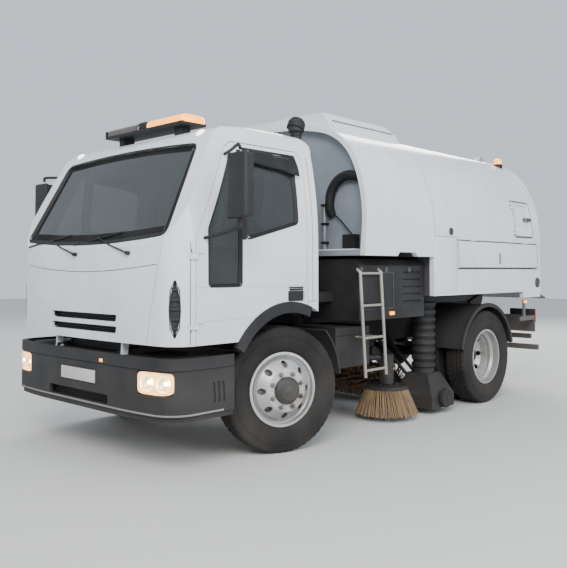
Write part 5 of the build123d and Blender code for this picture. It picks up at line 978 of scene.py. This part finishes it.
# Hopper: welded steel body in white enamel, weathered at its foot, with rolled shoulders.
# Seams, hinge lines and fittings are dark; the recess behind the cab is painted grey-blue as shade, since it
# faces away from the light.
for node in ("hopper_shell", "roof_cowl", "locker_lid_left", "locker_lid_right", "hatch_left", "hatch_right"):
    dress(node, white_enamel)
for node in ("locker_liner_left", "locker_liner_right"):
    dress(node, chassis_paint)
HOPPER_REAR_X = -2.6825
# grey-blue painted shade for the bulkhead, which faces forward away from the light; its mottle and dirt lie
# over that shade
bulkhead_painted_shade = surface(
    "bulkhead_painted_shade", (0.2, 0.23, 0.27), (0.26, 0.29, 0.33),
    bump=0.15, grain=60, dirt=0.5, dirt_top=2.2,
)
# only the bulkhead, ahead of this place, is grey-blue painted shade; the hopper's floor behind it is near
# black
BULKHEAD_X = 0.5
FLOOR_BLACK = (0.055, 0.055, 0.058, 1)
tree = bulkhead_painted_shade.node_tree
shade_tone_input = tree.nodes["Principled BSDF"].inputs["Base Color"]
place = tree.nodes["Texture Coordinate"].outputs["Object"]
forward = finish_step(tree, "SeparateXYZ", "X", {"Vector": place})
forward = finish_step(tree, "Math", "Value", {0: forward, 1: BULKHEAD_X}, operation="GREATER_THAN")
# the grey-blue painted shade is kept ahead of BULKHEAD_X and swapped for near black behind it
tree.links.new(blended(tree, forward, FLOOR_BLACK, shade_tone_input.links[0].from_socket), shade_tone_input)
dress("hopper_floor", bulkhead_painted_shade)


def hopper_line(inset=0.0, low=1.2, parts=8):
    """Points and outward directions round the hopper's section, from the left foot to the right."""
    y, z, angle = 1.245 - inset, 1.83, 0.0
    half = [((y, low + (z - low) * i / 6), (1.0, 0.0)) for i in range(6)]
    for radius, turn in ((1.4, 27), (0.7, 48), (None, 15)):
        start = math.radians(angle)
        bend = radius - inset if radius else y / math.cos(start)
        for i in range(parts):
            a = start + math.radians(turn) * i / parts
            half.append((
                (y - bend * (math.cos(start) - math.cos(a)), z + bend * (math.sin(a) - math.sin(start))),
                (math.cos(a), math.sin(a)),
            ))
        end = start + math.radians(turn)
        y, z = y - bend * (math.cos(start) - math.cos(end)), z + bend * (math.sin(end) - math.sin(start))
        angle += turn
    return half + [((0.0, z), (0.0, 1.0))] + [((-p[0], p[1]), (-n[0], n[1])) for p, n in reversed(half)]


def hoop_band(bm, x, width, lift, low=1.2, sink=0.004):
    """Band round the hopper's skin at one station."""
    rows = []
    for (y, z), (ny, nz) in hopper_line(low=low):
        spot, normal = Vector((x, y, z)), Vector((0, ny, nz))
        rows.append([
            bm.verts.new(spot + normal * rise + Vector((reach * width / 2, 0, 0)))
            for reach, rise in ((-1, -sink), (-0.8, lift), (0.8, lift), (1, -sink))
        ])
    faces_between(bm, rows, ring=True, caps=True)


hopper_skin = skin_of("hopper_shell")
bm = bmesh.new()
hoop_band(bm, AXLE_X - 2.0, 0.006, 0.0006, low=1.6)
for _, out in SIDES:
    side_strip(bm, hopper_skin, out, [(AXLE_X - 2.02, 1.8), (AXLE_X - 2.44, 1.8)], 0.005)
    side_strip(bm, hopper_skin, out, [(AXLE_X - 2.42, 1.8), (AXLE_X - 2.42, 1.22)], 0.005)
piece(bm, "hopper_seams", seam_black, "hopper")
bm = bmesh.new()
hoop_band(bm, HOPPER_REAR_X + 0.012, 0.022, 0.004)
for _, out in SIDES:
    # border of the side panel, and two rods beside each hatch
    side_slab(bm, out, (-0.69, 1.2445, 1.225), (-0.28, 1.2475, 1.785), 0.001)
    for x in (HOPPER_REAR_X + 0.085, HOPPER_REAR_X + 0.155):
        rail = [on_skin(hopper_skin, (x, out * BESIDE_Y, 1.95 + 0.08 * k), (0, -out, 0)) for k in range(5)]
        pipe(bm, [spot + normal * 0.006 for spot, normal in rail], 0.006, 8)
# sill below the bulkhead
slab(bm, (0.66, -1.12, 1.6385), (0.84, 1.12, 1.652), 0.004)
piece(bm, "hopper_trim", white_enamel, "hopper")
fitting_steel = surface(
    "fitting_steel", (0.07, 0.07, 0.07), (0.16, 0.15, 0.14), rough=0.5, metal=0.5, bump=0.4, grain=200,
)
FITTING = (
    # radius as a share of the fitting's own, and height over the skin
    (0, 0.004), (0.45, 0.004), (0.5, 0.009), (0.72, 0.01), (0.78, 0.004),
    (0.9, 0.004), (0.94, 0.008), (1, 0.007), (1.02, -0.003), (0, -0.003),
)
bm = bmesh.new()
for _, out in SIDES:
    for x, z, size in ((AXLE_X - 2.307, 1.856, 0.038), (HOPPER_REAR_X + 0.08, 1.305, 0.06)):
        spot, normal = on_skin(hopper_skin, (x, out * BESIDE_Y, z), (0, -out, 0))
        turned(bm, [(size * r, y) for r, y in FITTING], 36, stood_on(spot, normal))
piece(bm, "hopper_fittings", fitting_steel, "hopper")
LID_EDGE = [(-2.587, 1.484), (-0.725, 1.484), (-0.725, 1.768), (-2.587, 1.768), (-2.587, 1.484)]
HATCH_EDGE = [(-2.467, 1.856), (-2.028, 1.856), (-2.028, 2.264), (-2.467, 2.264), (-2.467, 1.856)]
for side, out in SIDES:
    bm = bmesh.new()
    side_strip(bm, skin_of("locker_lid_" + side), out, LID_EDGE, 0.007, step=0.05, lift=0.001)
    side_slab(bm, out, (-1.63, 1.252, 1.527), (-1.602, 1.2625, 1.648), 0.003)
    piece(bm, "locker_latch_" + side, seam_black, "locker_" + side)
    bm = bmesh.new()
    side_strip(bm, skin_of("hatch_" + side), out, HATCH_EDGE, 0.011, step=0.05, lift=0.001)
    side_slab(bm, out, (-2.4, 1.205, 2.04), (-2.262, 1.268, 2.08), 0.008)
    grip = stood_on(Vector((-2.375, out * 1.262, 2.06)), Vector((0, out, 0)))
    turned(bm, [(0, 0.012), (0.018, 0.011), (0.022, 0.004), (0.022, -0.02), (0, -0.02)], 24, grip)
    piece(bm, "hatch_handle_" + side, fitting_steel, "hatch_" + side)

# Behind the cab: a black suction hose arches out of the bulkhead, beside a grey water pipe,
# its cable and a junction box, all clipped to the hopper. Thin bars guard the roof outlet.
HOSE_ARCH = (
    (0.655, 0.7, 1.98), (0.7, 0.7, 2.05), (0.705, 0.72, 2.19),
    (0.705, 0.8, 2.3), (0.7, 0.92, 2.345), (0.69, 1.06, 2.32),
)
CABLE_RUN = ((0.67, 0.66, 2.02), (0.69, 0.8, 1.95), (0.7, 0.93, 1.83), (0.7, 0.97, 1.79))
bm = bmesh.new()
arch = curved(HOSE_ARCH, 14)
pipe(bm, arch, [0.043 + 0.003 * (n % 2) for n in range(len(arch))], 20)
pipe(bm, curved(CABLE_RUN), 0.007, 8)
slab(bm, (0.657, 0.88, 1.66), (0.735, 1.03, 1.79), 0.008)
slab(bm, (0.73, 0.895, 1.675), (0.742, 1.015, 1.775), 0.004)
for z in (1.72, 1.9, 2.08):
    slab(bm, (0.657, 0.6, z - 0.012), (0.715, 0.66, z + 0.012), 0.004)
piece(bm, "bulkhead_hose", glazing_rubber, "hopper")
pipe_grey = surface(
    "pipe_grey", (0.3, 0.31, 0.32), (0.22, 0.22, 0.22), rough=0.45, metal=0.3, bump=0.2, grain=120,
)
bm = bmesh.new()
pipe(bm, [(0.69, 0.63, 1.655), (0.69, 0.63, 2.12), (0.67, 0.63, 2.15)], 0.018, 16)
piece(bm, "bulkhead_pipe", pipe_grey, "hopper")
bm = bmesh.new()
slab(bm, (-0.41, -0.66, 2.9105), (0.6, 0.66, 2.9135), 0.001)
for y in (0.0388 * k - 0.62 for k in range(33)):
    slab(bm, (-0.34, y - 0.003, 2.91), (-0.334, y + 0.003, 2.948), 0.001)
piece(bm, "outlet_guard", seam_black, "hopper")

# Beacons: two amber plastic domes on round black bases, bolted to the hopper's rear
# shoulders. Both are lit.
BEACON_DOME = (
    (0, 2.864), (0.02, 2.862), (0.038, 2.852), (0.046, 2.835), (0.05, 2.79), (0.05, 2.785), (0, 2.785),
)
BEACON_BASE = ((0, 2.79), (0.053, 2.79), (0.055, 2.784), (0.055, 2.72), (0, 2.72))
upright = Matrix.Rotation(math.radians(90), 4, "X")
domes, bases = bmesh.new(), bmesh.new()
for y in (-0.8, 0.8):
    foot = Matrix.Translation((HOPPER_REAR_X + 0.2, y, 0)) @ upright
    turned(domes, BEACON_DOME, 36, foot)
    turned(bases, BEACON_BASE, 36, foot)
piece(domes, "beacon_domes", bar_amber, "hopper")
piece(bases, "beacon_bases", dark_plastic, "hopper", ("hopper_beacons",))

# Tail door: grey painted steel with a rubber seal round its edge. Reflective sheeting in
# yellow and red chevrons fills the fields between the ribs; the field on top is cream.
tail_paint = surface(
    "tail_paint", (0.25, 0.27, 0.29), (0.33, 0.34, 0.35), rough=0.42, coat=0.2, bump=0.12, grain=60,
    dirt=0.6, dirt_top=2.4,
)
cream = surface(
    "cream", (0.66, 0.62, 0.5), (0.56, 0.52, 0.42), rough=0.5, bump=0.1, grain=80, dirt=0.4, dirt_top=3.2,
)
signal_red = surface(
    "signal_red", (0.72, 0.07, 0.02), (0.6, 0.05, 0.015), rough=0.35, bump=0.25, grain=600, coat=0.3,
)
chevrons = surface(
    "chevrons", (0.56, 0.66, 0.03), (0.46, 0.56, 0.03), rough=0.35, bump=0.25, grain=600, coat=0.3,
)
STRIPES_PER_METRE = 2.0
YELLOW_SHARE = 0.52
STRIPE_RED = (0.42, 0.018, 0.015, 1)
tree = chevrons.node_tree
sheeting = tree.nodes["Principled BSDF"].inputs["Base Color"]
place = tree.nodes["Texture Coordinate"].outputs["Object"]
stripe = finish_step(tree, "SeparateXYZ", "Y", {"Vector": place})
height = finish_step(tree, "SeparateXYZ", "Z", {"Vector": place})
STRIPE_STEPS = (
    ("ABSOLUTE", {}), ("ADD", {1: height}), ("MULTIPLY", {1: STRIPES_PER_METRE}), ("FRACT", {}),
    ("GREATER_THAN", {1: YELLOW_SHARE}),
)
for operation, measure in STRIPE_STEPS:
    stripe = finish_step(tree, "Math", "Value", {0: stripe, **measure}, operation=operation)
tree.links.new(blended(tree, stripe, sheeting.links[0].from_socket, STRIPE_RED), sheeting)
dress("tail_door", tail_paint)
TAIL_X = -2.7475
bm = bmesh.new()
for low, high in ((-0.555, 0.082), (0.218, 0.555), (0.645, 0.8), (-0.8, -0.645)):
    slab(bm, (TAIL_X - 0.002, low, 1.345), (TAIL_X + 0.001, high, 2.292), 0.0008)
piece(bm, "chevron_fields", chevrons, "tail_door")
bm = bmesh.new()
for _, out in SIDES:
    side_slab(bm, out, (TAIL_X - 0.0022, 0.86, 1.56), (TAIL_X + 0.001, 0.94, 2.2), 0.0008)
    side_slab(bm, out, (-2.7815, 0.9, 2.43), (-2.775, 0.96, 2.53), 0.002)
piece(bm, "side_reflectors", signal_red, "tail_door")
high_red = lit("high_red", (0.6, 0.02, 0.01), (0.4, 0.01, 0.01), (1, 0.06, 0.02), 6)
bm = bmesh.new()
for _, out in SIDES:
    side_slab(bm, out, (-2.7845, 0.908, 2.44), (-2.781, 0.952, 2.52), 0.0015)
piece(bm, "high_lamps", high_red, "tail_door")
bm = bmesh.new()
top_field = [p for p, _ in hopper_line(inset=0.13, low=2.352, parts=10) if p[1] > 2.36]
rows = [[bm.verts.new((TAIL_X + x, y, z)) for y, z in top_field] for x in (-0.0016, 0.001)]
faces_between(bm, rows, ring=True, caps=True)
slab(bm, (TAIL_X - 0.0335, -0.898, 1.243), (TAIL_X - 0.029, 0.898, 1.262), 0.001)
for _, out in SIDES:
    side_slab(bm, out, (TAIL_X - 0.0018, 0.955, 1.6), (TAIL_X + 0.001, 1.1, 2.25), 0.0008)
piece(bm, "cream_field", cream, "tail_door")
bm = bmesh.new()
SEAL_FOOT = [(1.008, 1.222), (1.1, 1.374), (1.186, 1.52)]
seal = SEAL_FOOT + [p for p, _ in hopper_line(inset=0.034, low=1.68, parts=10)]
seal += [(-y, z) for y, z in SEAL_FOOT[::-1]]
pipe(bm, [(-2.6915, y, z) for y, z in seal], 0.008, 10)
for z in (1.52, 1.9):
    slab(bm, (TAIL_X - 0.034, 0.127, z - 0.012), (TAIL_X - 0.006, 0.173, z + 0.012), 0.004)
slab(bm, (TAIL_X - 0.043, 0.04, 1.652), (TAIL_X - 0.012, 0.262, 1.683), 0.008)
slab(bm, (TAIL_X - 0.02, -0.36, 1.36), (TAIL_X, -0.12, 1.395), 0.003)
slab(bm, (TAIL_X - 0.042, -0.902, 2.29), (TAIL_X - 0.034, 0.902, 2.304), 0.002)
KNOB = ((0, 0.05), (0.03, 0.048), (0.034, 0.04), (0.022, 0.034), (0.012, 0.03), (0.012, -0.002), (0, -0.002))
turned(bm, KNOB, 24, Matrix.Translation((TAIL_X, -0.42, 2.36)) @ lamp_turn)
piece(bm, "tail_door_seal", glazing_rubber, "tail_door")

# Hoses over the tail door: two black rubber lines clipped to the door feed the boom and the
# door's lock. They are tied down along their whole run.
FEED_HOSE = (
    (-2.8, 0.93, 2.25), (-2.808, 0.86, 2.34), (-2.8, 0.74, 2.44), (-2.795, 0.5, 2.56), (-2.79, 0.2, 2.66),
    (-2.785, -0.1, 2.78), (-2.775, -0.32, 2.83), (-2.765, -0.5, 2.74), (-2.765, -0.62, 2.56),
    (-2.77, -0.65, 2.39),
)
LOCK_HOSE = (
    (-2.8, 0.06, 2.28), (-2.81, 0.1, 2.42), (-2.8, -0.02, 2.56), (-2.785, -0.25, 2.74), (-2.77, -0.5, 2.79),
    (-2.765, -0.72, 2.69), (-2.77, -0.84, 2.52), (-2.805, -0.87, 2.36), (-2.79, -0.93, 2.24),
    (-2.762, -1.04, 2.1), (-2.758, -1.075, 1.95),
)
bm = bmesh.new()
for route, size in ((FEED_HOSE, 0.016), (LOCK_HOSE, 0.012)):
    pipe(bm, curved(route, 10), size, 12)
piece(bm, "tail_hoses", glazing_rubber, "tail_door")

# Boom: steel jib in black paint with a ribbed rubber hose hanging from its end, and the
# round blue sign on its stay. The sign is a blank aluminium disc with a white rim.
dress("hose_boom", chassis_paint)
HOSE_TOP = Vector((-2.8325, 0.545, 2.2))
HOSE_FOOT = Vector((-2.8325, 0.34, 1.29))
HOSE_RIBS = 56
bm = bmesh.new()
line = [HOSE_TOP.lerp(HOSE_FOOT, 0.06 + 0.9 * k / HOSE_RIBS) for k in range(HOSE_RIBS + 1)]
pipe(bm, line, [0.0375 + 0.0035 * (k % 2) for k in range(HOSE_RIBS + 1)], 18)
piece(bm, "boom_hose", glazing_rubber, "boom")
sign_blue = surface(
    "sign_blue", (0.012, 0.07, 0.24), (0.02, 0.09, 0.28),
    rough=0.35, coat=0.3, bump=0.15, grain=500, mottle=5,
)
bare_aluminium = surface(
    "bare_aluminium", (0.45, 0.46, 0.47), (0.36, 0.36, 0.36), rough=0.4, metal=0.8, bump=0.2, grain=200,
)
SIGN_BACK_X = -2.9025
SIGN_FACE = ((0, 0.0062), (0.278, 0.0062), (0.278, 0.003), (0, 0.003))
SIGN_RIM = (
    (0.2775, 0.003), (0.2775, 0.0065), (0.298, 0.0065), (0.2998, 0.004), (0.2998, 0.0), (0, 0.0), (0, 0.003),
)
disc = Matrix.Translation((SIGN_BACK_X, 0.6, 1.54)) @ lamp_turn
bm = bmesh.new()
turned(bm, SIGN_FACE, 72, disc)
piece(bm, "sign_face", sign_blue, "boom")
bm = bmesh.new()
turned(bm, SIGN_RIM, 72, disc)
piece(bm, "sign_rim", white_enamel, "boom", ("road_sign",))
bm = bmesh.new()
for z in (1.5, 1.55):
    slab(bm, (SIGN_BACK_X, 0.36, z), (-2.894, 0.84, z + 0.03), 0.002)
slab(bm, (-2.895, 0.37, 1.49), (-2.845, 0.43, 1.59), 0.006)
piece(bm, "sign_clamp", bare_aluminium, "boom")

# Ram: the cylinder that tips the hopper, a forged barrel left dark on its pin in the frame,
# and a chromed rod that slides out of it.
rod_chrome = surface(
    "rod_chrome", (0.6, 0.61, 0.62), (0.5, 0.5, 0.5), rough=0.15, metal=1.0, bump=0.05, grain=300,
)
dress("tip_ram_barrel", cast_iron)
dress("tip_ram_rod", rod_chrome)

# Rear bumper bars: two bars across the tail on arms from the frame, with the lamp carriers
# above them, of galvanised steel gone dull.
galvanised = surface(
    "galvanised", (0.11, 0.105, 0.1), (0.17, 0.16, 0.15), rough=0.6, metal=0.4, bump=0.3, grain=120, dirt=0.5,
)
dress("under_run_bumper", galvanised)

# Auxiliary engine cowl, ladder and intake: black sheet steel with pressed louvres, an
# aluminium ladder with worn rungs, and a plastic intake pipe under a slanted rain cap.
dress("aux_engine_cowl", chassis_paint)
ladder_alloy = surface(
    "ladder_alloy", (0.34, 0.31, 0.27), (0.44, 0.41, 0.37),
    rough=0.5, metal=0.5, bump=0.3, grain=160, dirt=0.5,
)
dress("access_ladder", ladder_alloy)
dress("air_intake", dark_plastic)
bm = bmesh.new()
for _, out in SIDES:
    for x in (0.02, 0.4, 0.78):
        side_slab(bm, out, (x - 0.02, 1.138, 1.44), (x + 0.02, 1.146, 1.485), 0.003)
    side_slab(bm, out, (0.29, 1.138, 1.1), (0.296, 1.145, 1.43), 0.001)
    for z in (1.1, 1.43):
        side_slab(bm, out, (0.29, 1.138, z), (0.79, 1.145, z + 0.006), 0.001)
piece(bm, "cowl_catches", fitting_steel, "chassis")
INTAKE_X = AXLE_X - 0.45
INTAKE_Y = 0.79
RAIN_CAP = (
    (0, 0.078), (0.03, 0.076), (0.06, 0.062), (0.076, 0.035),
    (0.08, 0.0), (0.08, -0.03), (0.074, -0.034), (0, -0.034),
)
JOINT_RING = ((0.047, 0.012), (0.052, 0.01), (0.052, -0.01), (0.047, -0.012))
bm = bmesh.new()
slant = Matrix.Rotation(math.radians(-24), 4, "Y") @ upright
turned(bm, RAIN_CAP, 36, Matrix.Translation((INTAKE_X, INTAKE_Y, 2.74)) @ slant)
for z in (1.4, 1.9, 2.4, 2.66):
    turned(bm, JOINT_RING, 32, Matrix.Translation((INTAKE_X, INTAKE_Y, z)) @ upright)
piece(bm, "intake_cap", glazing_rubber, "chassis")

# Sweeping gear: black rubber suction hoses and nozzle hoods, steel arms, and brushes whose
# tan plastic bristles stand in tufts round a plate or along a drum.
dress("suction_gear", dark_plastic)
for node in ("brush_arm_left", "brush_arm_right", "wide_brush_frame"):
    dress(node, chassis_paint)
for node in ("nozzle_wheel_left", "nozzle_wheel_right"):
    dress(node, tyre_rubber)
bristle = surface(
    "bristle", (0.3, 0.19, 0.09), (0.18, 0.12, 0.07),
    rough=0.8, bump=0.5, grain=300, mottle=12, dirt=0.5, dirt_top=0.6,
)
rng = random.Random(41)


def tuft(bm, root, tip, size):
    """Bundle of bristles: a thin bar that spreads a little towards its worn end."""
    bow = (tip - root).cross(Vector((0, 0, 1))).normalized() * rng.uniform(-0.006, 0.006)
    pipe(bm, [root, root.lerp(tip, 0.5) + bow, tip], [size, size * 1.2, size * 1.5], 5)


BRUSH_X = 0.0675
BRUSH_Y = 0.9
TUFT_RINGS = (
    # radius at the plate, radius at the ground, tufts
    (0.2, 0.3, 96), (0.18, 0.262, 84), (0.155, 0.225, 72),
)
BRUSH_PLATE = (
    (0, 0.4), (0.02, 0.4), (0.02, 0.336), (0.06, 0.334), (0.07, 0.33),
    (0.205, 0.33), (0.213, 0.325), (0.213, 0.298), (0.205, 0.294), (0, 0.294),
)
PLATE_BOLT = ((0, 0.343), (0.012, 0.343), (0.013, 0.33), (0, 0.33))
for side, out in SIDES:
    centre = Vector((BRUSH_X, out * BRUSH_Y, 0))
    bm = bmesh.new()
    for ring_r, foot_r, count in TUFT_RINGS:
        for k in range(count):
            turn = 2 * math.pi * (k + rng.uniform(-0.2, 0.2)) / count
            spread = foot_r + rng.uniform(-0.012, 0.007)
            root = centre + Vector((ring_r * math.cos(turn), ring_r * math.sin(turn), 0.305))
            turn += 0.12 + rng.uniform(-0.03, 0.03)
            tip = Vector((spread * math.cos(turn), spread * math.sin(turn), 0.047 + rng.uniform(0, 0.008)))
            tuft(bm, root, centre + tip, 0.0042)
    piece(bm, "tufts_" + side, bristle, "side_brush_" + side, ("side_brush_" + side,))
    bm = bmesh.new()
    turned(bm, BRUSH_PLATE, 60, Matrix.Translation(centre) @ upright)
    for turn in (math.radians(60 * k) for k in range(6)):
        bolt = centre + Vector((0.1 * math.cos(turn), 0.1 * math.sin(turn), 0))
        turned(bm, PLATE_BOLT, 6, Matrix.Translation(bolt) @ upright)
    piece(bm, "brush_plate_" + side, chassis_paint, "side_brush_" + side)
DRUM_AXIS = Vector((-0.532, 0, 0.25))
DRUM_HALF_L = 0.585
DRUM_ROWS = 18
ROW_TUFTS = 30
DRUM_CORE = (
    (0, 0.636), (0.015, 0.636), (0.015, 0.6), (0.07, 0.598),
    (0.07, -0.598), (0.015, -0.6), (0.015, -0.636), (0, -0.636),
)
bm = bmesh.new()
for row in range(DRUM_ROWS):
    for k in range(ROW_TUFTS):
        y = -DRUM_HALF_L + 2 * DRUM_HALF_L * (k + rng.uniform(-0.3, 0.3)) / (ROW_TUFTS - 1)
        turn = 2 * math.pi * row / DRUM_ROWS + y * 1.4 + rng.uniform(-0.04, 0.04)
        aim = Vector((math.cos(turn), 0, math.sin(turn)))
        foot = DRUM_AXIS + Vector((0, y, 0))
        tuft(bm, foot + aim * 0.068, foot + aim * rng.uniform(0.188, 0.199), 0.006)
piece(bm, "drum_tufts", bristle, "wide_brush", ("wide_brush",))
bm = bmesh.new()
turned(bm, DRUM_CORE, 36, Matrix.Translation(DRUM_AXIS))
piece(bm, "drum_core", chassis_paint, "wide_brush")
